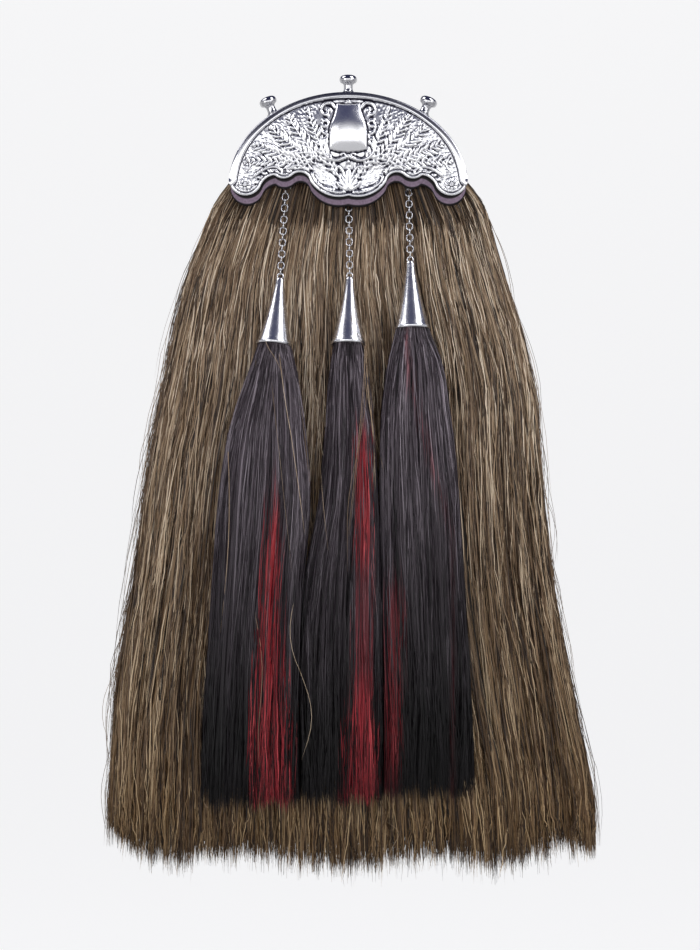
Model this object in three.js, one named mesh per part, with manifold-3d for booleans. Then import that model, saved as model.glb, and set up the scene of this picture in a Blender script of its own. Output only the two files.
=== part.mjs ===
// A horsehair sporran: an embossed metal cantle with three knobs, a long skirt of
// brown horsehair on a leather back with a pocket, and three tassels in metal cones
// that hang on chains.
// Millimetres, +Z up, the front faces -Y. The origin is on the rear face of the
// leather back, midway between the two strap loops, at the height of the strap.
import * as THREE from "three";
import { mergeVertices } from "three/addons/utils/BufferGeometryUtils.js";
import { ConvexGeometry } from "three/addons/geometries/ConvexGeometry.js";
import Module from "manifold-3d";

const wasm = await Module();
wasm.setup();

// Driving dimensions. Depths are places along Y, and the smaller one is nearer the front.
const GAP = 0.3;
const ARCH = { halfWidth: 77, height: 61, centreZ: -28, steps: 22, fineSteps: 48 };
const PANEL = { front: -2.5, back: 0, bottomZ: -152, halfWidth: 80, corner: 46, inset: 0.6, archZ: -22 };
const BOARD = { front: -5, back: -2.8, bottomZ: -142, halfWidth: 74, inset: 2.4, archZ: -20, steps: 12 };
const LIP = { front: -14.3, back: -12.7, drop: 6.5, sideShare: 0.985, clear: 0.4, archZ: -19 };
const PLATE = { front: -15.8, back: -14.6 };
const WALL = { inset: 0.3, thick: 1.3, back: -3, endZ: -20, sunk: 0.5 };
const DOME = { rise: 2.6, halfWidth: 64, halfHeight: 22, centreZ: 3, sunk: 0.4, sides: 16 };
const DOME_RINGS = [0.45, 1];
const RIM = { width: 3.4, rise: 1.5, edgeWidth: 2.4, edgeRise: 1.1, sideTopZ: -10, crest: 0.4 };
const KNOB = { x: 48.3, lean: 23, centreY: -9.4, sides: 12 };
const POCKET = { halfWidth: 62, topZ: -24, bottomZ: -138, corner: 34, wall: 2, front: 0.3, back: 18 };
const LOOP = { x: 34, width: 20, thick: 2, slot: 6, slotHeight: 26, tab: 7, chamfer: 3, bevel: 4.2 };
const LINK = { radius: 2, stretch: 0.5, wire: 0.43, sides: 10, wireSides: 5, play: 0.25 };
const EYE = { radius: 1.9, wire: 0.45, sides: 10, wireSides: 5, y: -9.1 };
const EYE_BLOCK = { footZ: 1.9, wide: 7, high: 4 };
const CONE = { topRadius: 2.5, baseRadius: 11.3, height: 44.3, neck: 1.2, wall: 0.8, sides: 12, roof: 4 };
const FLARE = { straight: 0.4, power: 1.5 };
const HEAD = { depth: 14, clear: 0.5, below: 1.5 };
const CORNER_STEPS = 6;
// How far a cut runs past the face that it opens.
const PAST = 1;

// The turned profile of a knob as radius and height, from under its foot to its crown.
const KNOB_PROFILE = [
  [0, -3], [4.3, -3], [4.3, 0.4], [3.1, 1.6], [3, 6], [5.2, 7.3], [5.7, 9], [4.8, 11], [0, 12],
];

const METAL = { color: 0xd8d9df, metalness: 1, roughness: 0.16 };
const LEATHER = { color: 0x4a3b48, metalness: 0, roughness: 0.45 };
const BACK_LEATHER = { color: 0x2a2228, metalness: 0, roughness: 0.55 };
const BROWN_HAIR = { color: 0x7a6248, metalness: 0, roughness: 0.6 };
const BLACK_HAIR = { color: 0x1b1a20, metalness: 0, roughness: 0.5 };

// The lower edge of the cantle, from the notch on the centre line out to the side:
// each row ends one arc, and bow is how far that arc swells below its chord.
const NOTCH = [0, -33.5];
const SCALLOPS = [
  { x: 24.5, z: -24.5, bow: 4.3, steps: 4 },
  { x: 35.8, z: -20.5, bow: -3.6, steps: 3 },
  { x: 47.4, z: -20.5, bow: 2.2, steps: 3 },
  { x: 56.3, z: -27.5, bow: -1.6, steps: 2 },
  { x: 76.7, z: -21.4, bow: 9, steps: 6 },
];

// Foliage on the right half of the cantle, mirrored on the left. Each stem runs from its
// root to its tip and bends sideways by bend. It has pairs of leaves and one at its tip.
const SPRAYS = [
  { rootX: 5, rootZ: -20, tipX: 25, tipZ: 18.5, bend: -5, pairs: 3, leaf: 10 },
  { rootX: 20, rootZ: -10, tipX: 44, tipZ: 8.5, bend: -3, pairs: 3, leaf: 10 },
  { rootX: 22, rootZ: -16.5, tipX: 60, tipZ: -8.5, bend: 4, pairs: 4, leaf: 9.5 },
];
// Fans of leaves on the centre line: where they spring from, and which way they open.
const FANS = [
  { x: 0, z: -30, heading: 90, spread: 27, leaves: 5, leaf: 14 },
  { x: 0, z: 23.5, heading: 90, spread: 45, leaves: 3, leaf: 5.5 },
];
const LEAF = { width: 0.55, widest: 0.42, rise: 1.6, sunk: 0.4, turn: 43, tipSize: 0.65, tipWidth: 0.7 };
const STEM = { wire: 0.9, sides: 3, steps: 3 };

// C-scrolls on the right half, mirrored on the left, as points that a round wire follows.
const SCROLLS = [
  { wire: 1.1, steps: 8, points: [[2.5, -9.5], [9, -10.6], [15, -7.5], [17, -2], [14.6, 1.2], [13, -1]] },
  { wire: 0.9, steps: 5, points: [[60, -20.5], [54, -16.5], [47.5, -15], [42.5, -17.8]] },
];
const BOSS = { x: 66.4, z: -26.4, sides: 10, profile: [[0, -0.4], [3.9, -0.4], [3.2, 1.2], [0, 1.9]] };

// The plain shield in the middle: half of its outline, from its foot up to its neck.
const SHIELD = {
  middleZ: 9,
  half: [[0, -7], [6.5, -6], [12.5, -4.5], [11.2, 3], [9.8, 14], [7.4, 22.5], [3, 25]],
  topZ: 25.6,
  rings: [{ share: 0.45, rise: 1.8 }, { share: 0.86, rise: 1.3 }, { share: 1, rise: -0.5 }],
};

// The skirt of hair, a row for each level: its left and right edge, front and back.
const SKIRT = [
  { z: 0, left: -58, right: 58, front: -5.8, back: -3.6 },
  { z: -19, left: -72, right: 72, front: -5.8, back: -3.4 },
  { z: -38, left: -85.5, right: 86.5, front: -6.4, back: -3.3 },
  { z: -56, left: -92.5, right: 92, front: -9.2, back: -3.3 },
  { z: -82, left: -102.5, right: 99, front: -13.2, back: -3.3 },
  { z: -120, left: -111, right: 111, front: -17.5, back: -3.3 },
  { z: -160, left: -118.5, right: 119.5, front: -20.6, back: -3.3 },
  { z: -207, left: -127.5, right: 123.5, front: -23.6, back: 3 },
  { z: -277, left: -137, right: 130.5, front: -26.5, back: 6.5 },
  { z: -352, left: -149, right: 143.5, front: -28.5, back: 8 },
  { z: -420, left: -153, right: 156.5, front: -29.5, back: 8 },
];
const SKIRT_LOCKS = { count: 24, grooveTop: 0.4, grooveHem: 3.2, square: 2.3 };
const HEM = { tipZ: -460, waver: 2, grooveRise: 6, tuckRise: 16, tuckShare: 0.9 };
// How far the hem rises towards its two lower corners, and where that starts.
const HEM_CORNERS = { left: 20, right: 8, from: 0.7 };

// The three tassels: the loop on the cone, how far the cone leans sideways and forwards
// in degrees, how many links its chain has, where the chain starts, and its hair.
const TASSELS = {
  left: {
    loop: [-43.5, -22.5, -85.9],
    lean: { side: -5, forward: 10 },
    links: 14,
    startX: -40.5,
    tipZ: -419,
    levels: [
      { z: -150, left: -64, right: -33, thick: 19 },
      { z: -184, left: -75, right: -28, thick: 19 },
      { z: -216, left: -80.5, right: -25, thick: 19 },
      { z: -293, left: -86, right: -30, thick: 20 },
      { z: -404, left: -92.5, right: -31, thick: 21 },
    ],
  },
  centre: {
    loop: [0.9, -22.5, -85.4],
    lean: { side: -1, forward: 10 },
    links: 13,
    startX: 0.2,
    tipZ: -416,
    levels: [
      { z: -150, left: -11.8, right: 12.2, thick: 19 },
      { z: -184, left: -13.8, right: 16.2, thick: 19 },
      { z: -216, left: -16, right: 17.8, thick: 19 },
      { z: -293, left: -28.6, right: 21, thick: 20 },
      { z: -402, left: -29.8, right: 22, thick: 21 },
    ],
  },
  right: {
    loop: [39.6, -23.4, -75.2],
    lean: { side: 1.5, forward: 8 },
    links: 12,
    startX: 38.8,
    tipZ: -412.5,
    levels: [
      { z: -141, left: 26.2, right: 59.2, thick: 19 },
      { z: -174, left: 21.6, right: 64.4, thick: 19 },
      { z: -206, left: 20.6, right: 68, thick: 19 },
      { z: -293, left: 22.4, right: 74, thick: 20 },
      { z: -400, left: 23.4, right: 79.4, thick: 21 },
    ],
  },
};
const TASSEL_LOCKS = { count: 10, groove: 1.3, square: 2.4, behind: 0.7 };
const TASSEL_TIPS = { waver: 2, grooveRise: 3, tuckRise: 9, tuckShare: 0.85 };

const radians = THREE.MathUtils.degToRad;
const between = THREE.MathUtils.lerp;
const around = (count, make) =>
  Array.from({ length: count }, (_, i) => make((i / count) * 2 * Math.PI));

// A closed mesh as a solid that can be joined and cut.
function solidOf(geometry) {
  const bare = geometry.clone();
  bare.deleteAttribute("normal");
  bare.deleteAttribute("uv");
  const merged = mergeVertices(bare, 1e-3);
  return new wasm.Manifold(
    new wasm.Mesh({
      numProp: 3,
      vertProperties: merged.attributes.position.array,
      triVerts: new Uint32Array(merged.index.array),
    }),
  );
}

function geometryOf(solid) {
  const { vertProperties, triVerts } = solid.getMesh();
  const indexed = new THREE.BufferGeometry();
  indexed.setAttribute("position", new THREE.BufferAttribute(vertProperties, 3));
  indexed.setIndex(new THREE.BufferAttribute(triVerts, 1));
  const faceted = indexed.toNonIndexed();
  faceted.computeVertexNormals();
  return faceted;
}

function joined(geometries) {
  return geometryOf(geometries.map(solidOf).reduce((whole, piece) => whole.add(piece)));
}

// A surface through rings of points. Seen from before the first ring, each ring turns
// anticlockwise. Its ends are the triangles that close gives for the points of an end.
function loft(rings, close = fanOver) {
  const count = rings[0].length;
  const last = (rings.length - 1) * count;
  const first = close(rings[0]);
  const end = close(rings.at(-1));
  const points = [...rings.flat(), ...first.extra, ...end.extra];
  const placeIn = (start, extraStart) => (i) => (i < count ? start + i : extraStart + i - count);
  const atFirst = placeIn(0, last + count);
  const atEnd = placeIn(last, last + count + first.extra.length);
  const index = [];
  for (let i = 0; i < count; i++) {
    const j = (i + 1) % count;
    for (let row = 0; row < last; row += count)
      index.push(row + i, row + count + i, row + j, row + j, row + count + i, row + count + j);
  }
  for (const triangle of first.triangles) index.push(...triangle.map(atFirst));
  for (const triangle of end.triangles) index.push(...triangle.map(atEnd).reverse());
  const geometry = new THREE.BufferGeometry().setFromPoints(points);
  geometry.setIndex(index);
  return geometry;
}

// An end closed by a fan round its middle point.
function fanOver(points) {
  const middle = points.reduce((sum, p) => sum.add(p), new THREE.Vector3());
  const triangles = points.map((_, i) => [points.length, i, (i + 1) % points.length]);
  return { extra: [middle.divideScalar(points.length)], triangles };
}

// A flat end in X and Z, whose outline may have bays.
function flatOver(points) {
  const contour = points.map((p) => new THREE.Vector2(p.x, p.z));
  return { extra: [], triangles: THREE.ShapeUtils.triangulateShape(contour, []) };
}

// A flat slab of an outline in X and Z, between two depths.
function slab(outline, back, front) {
  const shape = new THREE.Shape(outline.map(([x, z]) => new THREE.Vector2(x, z)));
  const geometry = new THREE.ExtrudeGeometry(shape, { depth: back - front, bevelEnabled: false });
  return geometry.rotateX(Math.PI / 2).translate(0, back, 0);
}

// A turned shape, its profile given as radius and height along the axis +Z.
function turned(profile, sides) {
  const points = profile.map(([radius, height]) => new THREE.Vector2(radius, height));
  return new THREE.LatheGeometry(points, sides).rotateX(Math.PI / 2);
}

// A ring of wire in the X and Z plane.
function wireRing(radius, wire, sides, wireSides) {
  return new THREE.TorusGeometry(radius, wire, wireSides, sides)
    .rotateZ(Math.PI / sides)
    .rotateX(Math.PI / 2);
}

// A round wire along a path, closed at both ends.
function wireAlong(path, wire, steps, sides = 5) {
  const section = around(
    sides,
    (turn) => new THREE.Vector2(wire * Math.cos(turn), wire * Math.sin(turn)),
  );
  return new THREE.ExtrudeGeometry(new THREE.Shape(section), { extrudePath: path, steps });
}

// Points of a circular arc between two ends, without the first one. It swells to the
// right of the way it runs by bow.
function arcBetween([x0, z0], [x1, z1], bow, steps) {
  const chord = Math.hypot(x1 - x0, z1 - z0);
  const radius = (chord * chord) / (8 * bow) + bow / 2;
  const half = 2 * Math.atan((2 * bow) / chord);
  const along = Math.atan2(z1 - z0, x1 - x0);
  return Array.from({ length: steps }, (_, i) => {
    const turn = half * (-1 + (2 * (i + 1)) / steps);
    const run = chord / 2 + radius * Math.sin(turn);
    const swell = radius * (Math.cos(turn) - Math.cos(half));
    return [
      x0 + run * Math.cos(along) + swell * Math.sin(along),
      z0 + run * Math.sin(along) - swell * Math.cos(along),
    ];
  });
}

// The scalloped edge from the left side to the right side, moved down by drop.
function scallopedEdge(drop = 0, sideShare = 1) {
  const half = [NOTCH];
  for (const { x, z, bow, steps } of SCALLOPS)
    half.push(...arcBetween(half.at(-1), [x, z], bow, steps));
  const right = half.map(([x, z]) => [x * sideShare, z - drop]);
  const left = right.slice(1).map(([x, z]) => [-x, z]);
  return [...left.reverse(), ...right];
}

// Points of the arch from the right side over the top to the left side, moved inwards.
function archCurve(inset = 0, endZ = SCALLOPS.at(-1).z, steps = ARCH.steps) {
  const a = ARCH.halfWidth - inset;
  const b = ARCH.height - inset;
  const start = Math.asin((endZ - ARCH.centreZ) / b);
  return Array.from({ length: steps + 1 }, (_, i) => {
    const turn = between(start, Math.PI - start, i / steps);
    return [a * Math.cos(turn), ARCH.centreZ + b * Math.sin(turn)];
  });
}

const archTopZ = (x) =>
  ARCH.centreZ + ARCH.height * Math.sqrt(1 - (x / ARCH.halfWidth) ** 2);

// The depth of the domed face of the cantle, without its relief.
function faceY(x, z) {
  const far = Math.hypot(x / DOME.halfWidth, (z - DOME.centreZ) / DOME.halfHeight);
  return PLATE.front - DOME.rise * Math.max(0, 1 - far ** 2);
}

const onFace = (x, z, rise) => new THREE.Vector3(x, faceY(x, z) - rise, z);

// The outline of the cantle moved inwards by the width of its rim times share. The rim
// is narrower and lower along the scalloped edge than along the arch.
function rimRing(share, rise) {
  const outline = [...scallopedEdge(), ...archCurve().slice(1, -1)];
  return outline.map(([x, z], i) => {
    const [x0, z0] = outline.at(i - 1);
    const [x1, z1] = outline[(i + 1) % outline.length];
    const inward = new THREE.Vector2(z0 - z1, x1 - x0).normalize();
    const arch = THREE.MathUtils.smoothstep(z, SCALLOPS.at(-1).z, RIM.sideTopZ);
    const width = share * between(RIM.edgeWidth, RIM.width, arch);
    const y = PLATE.front - rise * between(RIM.edgeRise, RIM.rise, arch);
    return new THREE.Vector3(x + inward.x * width, y, z + inward.y * width);
  });
}

// The flat plate with its raised rim.
function cantlePlate() {
  const back = rimRing(0, 0).map((p) => p.setY(PLATE.back));
  return loft([rimRing(1, 0), rimRing(RIM.crest, 1), rimRing(0, 0.6), back], flatOver);
}

// The low dome on the plate, under the relief.
function cantleDome() {
  return loft(
    DOME_RINGS.map((share) =>
      around(DOME.sides, (turn) => {
        const x = share * DOME.halfWidth * Math.cos(turn);
        const z = DOME.centreZ + share * DOME.halfHeight * Math.sin(turn);
        return onFace(x, z, share === 1 ? -DOME.sunk : 0);
      }),
    ),
  );
}

// The wall that runs back from the arch to the leather.
function cantleWall() {
  const outer = archCurve(WALL.inset, WALL.endZ);
  const inner = archCurve(WALL.inset + WALL.thick, WALL.endZ);
  return slab([...outer, ...inner.reverse()], WALL.back, PLATE.back - WALL.sunk);
}

// One leaf: a pointed pyramid on the face of the plate.
function leaf(x, z, heading, length, width) {
  const at = (along, aside, rise) =>
    onFace(
      x + along * Math.cos(heading) - aside * Math.sin(heading),
      z + along * Math.sin(heading) + aside * Math.cos(heading),
      rise,
    );
  return new ConvexGeometry([
    at(0, 0, -LEAF.sunk),
    at(length * LEAF.widest, width / 2, -LEAF.sunk),
    at(length * LEAF.widest, -width / 2, -LEAF.sunk),
    at(length, 0, -LEAF.sunk),
    at(length * LEAF.widest, 0, LEAF.rise),
  ]);
}

// A stem with pairs of leaves and one broad leaf at its tip. side is 1 or -1.
function spray({ rootX, rootZ, tipX, tipZ, bend, pairs, leaf: longest }, side) {
  const root = new THREE.Vector2(rootX * side, rootZ);
  const tip = new THREE.Vector2(tipX * side, tipZ);
  const across = new THREE.Vector2(root.y - tip.y, tip.x - root.x).normalize();
  const bent = root.clone().lerp(tip, 0.5).addScaledVector(across, bend * side);
  const stem = new THREE.QuadraticBezierCurve(root, bent, tip);
  const headingAt = (share) => stem.getTangent(share).angle();
  const path = new THREE.CatmullRomCurve3(stem.getPoints(STEM.steps).map(({ x, y }) => onFace(x, y, 0)));
  const made = [wireAlong(path, STEM.wire, STEM.steps, STEM.sides)];
  for (let i = 0; i < pairs; i++) {
    const share = (i + 0.6) / pairs;
    const { x, y } = stem.getPoint(share);
    const length = longest * between(1, LEAF.tipSize, share);
    for (const turn of [radians(LEAF.turn), -radians(LEAF.turn)])
      made.push(leaf(x, y, headingAt(share) + turn, length, length * LEAF.width));
  }
  made.push(leaf(tip.x, tip.y, headingAt(1), longest, longest * LEAF.tipWidth));
  return made;
}

function fan({ x, z, heading, spread, leaves, leaf: length }) {
  return Array.from({ length: leaves }, (_, i) => {
    const turn = spread * (i - (leaves - 1) / 2);
    const size = length * (1 - Math.abs(turn) / 180);
    return leaf(x, z, radians(heading + turn), size, size * LEAF.width);
  });
}

function scroll({ wire, steps, points }, side) {
  const path = new THREE.CatmullRomCurve3(points.map(([x, z]) => onFace(x * side, z, 0)));
  return wireAlong(path, wire, steps);
}

function boss(side) {
  const dome = turned(BOSS.profile, BOSS.sides).rotateX(Math.PI / 2);
  return dome.translate(BOSS.x * side, faceY(BOSS.x, BOSS.z), BOSS.z);
}

// The shield, from its raised middle down to its rim in the plate.
function shield() {
  const { half, topZ, middleZ, rings } = SHIELD;
  const mirrored = half.slice(1).map(([x, z]) => [-x, z]);
  const outline = [...half, [0, topZ], ...mirrored.reverse()];
  return loft(
    rings.map(({ share, rise }) =>
      outline.map(([x, z]) => onFace(x * share, between(middleZ, z, share), rise)),
    ),
  );
}

function cantle() {
  const pieces = [cantlePlate(), cantleDome(), cantleWall(), shield()];
  for (const side of [1, -1]) {
    pieces.push(boss(side));
    for (const row of SCROLLS) pieces.push(scroll(row, side));
    for (const row of SPRAYS) pieces.push(...spray(row, side));
  }
  for (const row of FANS) pieces.push(...fan(row));
  return joined(pieces);
}

// The leather layer behind the cantle, whose scalloped lip shows below the metal.
function cantleBacking() {
  const arch = archCurve(WALL.inset + WALL.thick + LIP.clear, LIP.archZ);
  return slab([...scallopedEdge(LIP.drop, LIP.sideShare), ...arch], LIP.back, LIP.front);
}

// A turned knob whose foot is cut to the curve of the arch. It leans by an angle.
function knob(x, lean) {
  const { sides, centreY } = KNOB;
  const whole = turned(KNOB_PROFILE, sides).rotateY(radians(lean));
  whole.translate(x, centreY, archTopZ(x));
  const metal = slab(archCurve(-GAP, ARCH.centreZ, ARCH.fineSteps), 0, 2 * centreY);
  return geometryOf(solidOf(whole).subtract(solidOf(metal)));
}

// A quarter circle at the lower right corner of an outline, from its side to its bottom.
// side -1 gives the corner on the left, in the same order.
function lowerCorner(side, { halfWidth, bottomZ, corner }, inset = 0) {
  const radius = corner - inset;
  return Array.from({ length: CORNER_STEPS + 1 }, (_, i) => {
    const turn = (i / CORNER_STEPS) * (Math.PI / 2);
    return [
      side * (halfWidth - corner + radius * Math.cos(turn)),
      bottomZ + corner - radius * Math.sin(turn),
    ];
  });
}

// The leather back, arched on top and rounded at the bottom.
function backPanel() {
  const arch = archCurve(PANEL.inset, PANEL.archZ);
  const corners = [...lowerCorner(-1, PANEL), ...lowerCorner(1, PANEL).reverse()];
  return slab([...arch, ...corners], PANEL.back, PANEL.front);
}

// A gusseted leather pocket on the rear of the back, open at the top and towards the back.
function rearPocket() {
  const { halfWidth, topZ, wall, front, back } = POCKET;
  const outline = (inset, high) => [
    [halfWidth - inset, high],
    [inset - halfWidth, high],
    ...lowerCorner(-1, POCKET, inset),
    ...lowerCorner(1, POCKET, inset).reverse(),
  ];
  const whole = solidOf(slab(outline(0, topZ), back, front));
  const hollow = solidOf(slab(outline(wall, topZ + PAST), back - wall, front - PAST));
  return geometryOf(whole.subtract(hollow));
}

// A leather keeper for the strap: two stitched tabs and a raised bridge between them.
function strapLoop() {
  const { thick, slot, slotHeight, tab, chamfer, bevel, width } = LOOP;
  const floor = GAP;
  const half = slotHeight / 2;
  const inside = [[floor, half], [floor + slot - chamfer, half], [floor + slot, half - chamfer]];
  const outside = [
    [floor + slot + thick, half + thick - bevel],
    [floor + slot + thick - bevel, half + thick],
    [floor + thick, half + thick],
    [floor + thick, half + tab],
    [floor, half + tab],
  ];
  const mirrored = (points) => points.map(([y, z]) => [y, -z]).reverse();
  const profile = [...inside, ...mirrored(inside), ...mirrored(outside), ...outside];
  const shape = new THREE.Shape(profile.map(([y, z]) => new THREE.Vector2(y, z)));
  const geometry = new THREE.ExtrudeGeometry(shape, { depth: width, bevelEnabled: false });
  return geometry.translate(0, 0, -width / 2).rotateX(Math.PI / 2).rotateZ(Math.PI / 2);
}

const OVAL_POINTS = 720;

// Points round a flattened oval, evenly spaced along its edge, anticlockwise from above.
function ovalRing({ left, right, front, back }, square, count) {
  const wide = (right - left) / 2;
  const deep = (back - front) / 2;
  const bend = (value) => Math.sign(value) * Math.abs(value) ** (2 / square);
  const dense = around(OVAL_POINTS, (turn) =>
    new THREE.Vector2(
      (left + right) / 2 + wide * bend(Math.cos(turn)),
      (front + back) / 2 + deep * bend(Math.sin(turn)),
    ),
  );
  dense.push(dense[0]);
  const run = [0];
  for (let i = 1; i < dense.length; i++) run.push(run[i - 1] + dense[i].distanceTo(dense[i - 1]));
  let at = 0;
  return Array.from({ length: count }, (_, i) => {
    const wanted = (run.at(-1) * i) / count;
    while (run[at + 1] < wanted) at++;
    const share = (wanted - run[at]) / (run[at + 1] - run[at]);
    return dense[at].clone().lerp(dense[at + 1], share);
  });
}

// A ring of locks: every second point lies in the groove between two locks.
function lockRing(level, square, locks, groove) {
  const outline = ovalRing(level, square, 2 * locks);
  return outline.map((p, i) => {
    const way = outline[(i + 1) % outline.length].clone().sub(outline.at(i - 1)).normalize();
    const depth = i % 2 ? groove : 0;
    return new THREE.Vector3(p.x - way.y * depth, p.y + way.x * depth, level.z);
  });
}

// How far the tip of one lock differs from the others, between about -1.5 and 1.5.
const tipWaver = (i) => Math.sin(i * 2.4) + 0.6 * Math.sin(i * 5.3 + 1);

// The two rings that end a bundle of locks: its uneven tips, and the hollow under them.
function tipRings(lowest, square, locks, groove, ends, riseAt) {
  const { tipZ, waver, grooveRise, tuckRise, tuckShare } = ends;
  const tips = lockRing(lowest, square, locks, groove).map((p, i) =>
    p.setZ(tipZ + (i % 2 ? grooveRise : waver * tipWaver(i)) + riseAt(p.x)),
  );
  const middle = new THREE.Vector3((lowest.left + lowest.right) / 2, (lowest.front + lowest.back) / 2);
  const under = tips.map((p) =>
    middle.clone().lerp(p, tuckShare).setZ(tipZ + tuckRise + riseAt(p.x)),
  );
  return [tips, under];
}

function hairSkirt() {
  const { count, grooveTop, grooveHem, square } = SKIRT_LOCKS;
  const lowest = SKIRT.at(-1);
  const cornerRise = (x) =>
    x < 0
      ? HEM_CORNERS.left * THREE.MathUtils.smoothstep(x / lowest.left, HEM_CORNERS.from, 1)
      : HEM_CORNERS.right * THREE.MathUtils.smoothstep(x / lowest.right, HEM_CORNERS.from, 1);
  const rings = SKIRT.map((level, i) =>
    lockRing(level, square, count, between(grooveTop, grooveHem, i / (SKIRT.length - 1))),
  );
  const locks = loft([...rings, ...tipRings(lowest, square, count, grooveHem, HEM, cornerRise)]);
  const { inset, halfWidth, bottomZ, back, front } = BOARD;
  const arch = archCurve(inset, BOARD.archZ, BOARD.steps);
  const board = slab([...arch, [-halfWidth, bottomZ], [halfWidth, bottomZ]], back, front);
  return joined([locks, board]);
}

// The front of the skirt at a height.
function skirtFront(z) {
  const next = SKIRT.findIndex((row) => row.z <= z);
  const above = SKIRT[next - 1];
  const below = SKIRT[next];
  return between(above.front, below.front, (z - above.z) / (below.z - above.z));
}

// One link: a ring of wire, stretched into an oval.
function chainLink() {
  const link = wireRing(LINK.radius, LINK.wire, LINK.sides, LINK.wireSides);
  const places = link.getAttribute("position");
  for (let i = 0; i < places.count; i++)
    places.setZ(i, places.getZ(i) + Math.sign(places.getZ(i)) * LINK.stretch);
  return link;
}

const linkPitch = 2 * (LINK.radius + LINK.stretch - LINK.wire) - LINK.play;
const endPitch = EYE.radius + LINK.radius + LINK.stretch - EYE.wire - LINK.wire - LINK.play;

// Where the eye of a chain sits, so that its links reach the loop on the cone.
function eyePlace({ loop, links, startX }) {
  const length = 2 * endPitch + (links - 1) * linkPitch;
  const aside = Math.hypot(loop[0] - startX, loop[1] - EYE.y);
  return new THREE.Vector3(startX, EYE.y, loop[2] + Math.sqrt(length ** 2 - aside ** 2));
}

// The hidden eye that a chain hangs from: a ring under a block between lip and hair.
// The ring is turned so that it lies across the first link.
function chainEye(row) {
  const hoop = wireRing(EYE.radius, EYE.wire, EYE.sides, EYE.wireSides);
  if (row.links % 2 === 0) hoop.rotateZ(Math.PI / 2);
  const front = LIP.back + GAP;
  const back = skirtFront(eyePlace(row).z) - GAP;
  const block = new THREE.BoxGeometry(EYE_BLOCK.wide, back - front, EYE_BLOCK.high);
  block.translate(0, (front + back) / 2 - EYE.y, EYE_BLOCK.footZ + EYE_BLOCK.high / 2);
  return joined([hoop, block]);
}

// The outer radius of a cone at a share of its height, 0 at the top. It flares at the foot.
function coneRadius(share) {
  return between(CONE.topRadius, CONE.baseRadius, between(share ** FLARE.power, share, FLARE.straight));
}

// A point on the profile of a cone, in from its outside by inset. The loop's middle is
// at the local origin and the cone hangs below it.
function coneProfile(share, inset = 0) {
  return [coneRadius(share) - inset, -CONE.neck - share * CONE.height];
}

// A hollow cone with its loop on top.
function cone() {
  const { wall, roof, height, sides } = CONE;
  const ceiling = roof / height;
  const shell = turned([
    [0, coneProfile(ceiling)[1]],
    ...[ceiling, 0.5, 1].map((share) => coneProfile(share, wall)),
    ...[1, 0.7, 0.35, 0].map((share) => coneProfile(share)),
    [0, -CONE.neck],
  ], sides);
  return joined([shell, wireRing(EYE.radius, EYE.wire, EYE.sides, EYE.wireSides)]);
}

const standard = ({ color, metalness, roughness }) =>
  new THREE.MeshStandardMaterial({ color, metalness, roughness });

function part(name, geometry, look) {
  const mesh = new THREE.Mesh(geometry, standard(look));
  mesh.name = name;
  return mesh;
}

// The rotation that turns straight down to a direction.
function downTo(direction) {
  return new THREE.Quaternion().setFromUnitVectors(new THREE.Vector3(0, 0, -1), direction);
}

// The way a cone points, from its loop to its mouth.
function coneAxis({ lean: { side, forward } }) {
  return new THREE.Vector3(Math.tan(radians(side)), -Math.tan(radians(forward)), -1).normalize();
}

// A chain of links, each a quarter turn from the next, and the last across the loop.
function chain(side, row) {
  const group = new THREE.Group();
  const start = eyePlace(row);
  group.position.copy(start);
  group.quaternion.copy(downTo(new THREE.Vector3(...row.loop).sub(start).normalize()));
  for (let i = 0; i < row.links; i++) {
    const link = part(`chain_${side}_link_${i + 1}`, chainLink(), METAL);
    link.position.z = -(endPitch + i * linkPitch);
    link.rotation.z = (row.links - 1 - i) % 2 ? 0 : Math.PI / 2;
    group.add(link);
  }
  return group;
}

// The hair of a tassel: a bound head in the mouth of its cone, then locks to its tips.
function tasselHair(row) {
  const { count, groove, square, behind } = TASSEL_LOCKS;
  const axis = coneAxis(row);
  const headRing = (depth) => {
    const share = Math.min(1, depth / CONE.height);
    const [radius] = coneProfile(share, CONE.wall + HEAD.clear);
    return around(2 * count, (turn) =>
      new THREE.Vector3(radius * Math.cos(turn), radius * Math.sin(turn), -CONE.neck - depth)
        .applyQuaternion(downTo(axis))
        .add(new THREE.Vector3(...row.loop)),
    );
  };
  const levels = row.levels.map((level) => {
    const back = skirtFront(level.z) - behind;
    return { ...level, back, front: back - level.thick };
  });
  const tips = { tipZ: row.tipZ, ...TASSEL_TIPS };
  return loft([
    headRing(CONE.height - HEAD.depth),
    headRing(CONE.height + HEAD.below),
    ...levels.map((level) => lockRing(level, square, count, groove)),
    ...tipRings(levels.at(-1), square, count, groove, tips, () => 0),
  ]);
}

// A whole tassel: the eye, its chain, the cone and the hair.
function tassel(side, row) {
  const eye = part(`chain_eye_${side}`, chainEye(row), METAL);
  eye.position.copy(eyePlace(row));
  const cap = part(`tassel_cone_${side}`, cone(), METAL);
  cap.position.set(...row.loop);
  cap.quaternion.copy(downTo(coneAxis(row)));
  const hair = part(`tassel_hair_${side}`, tasselHair(row), BLACK_HAIR);
  return new THREE.Group().add(eye, chain(side, row), cap, hair);
}

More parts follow.
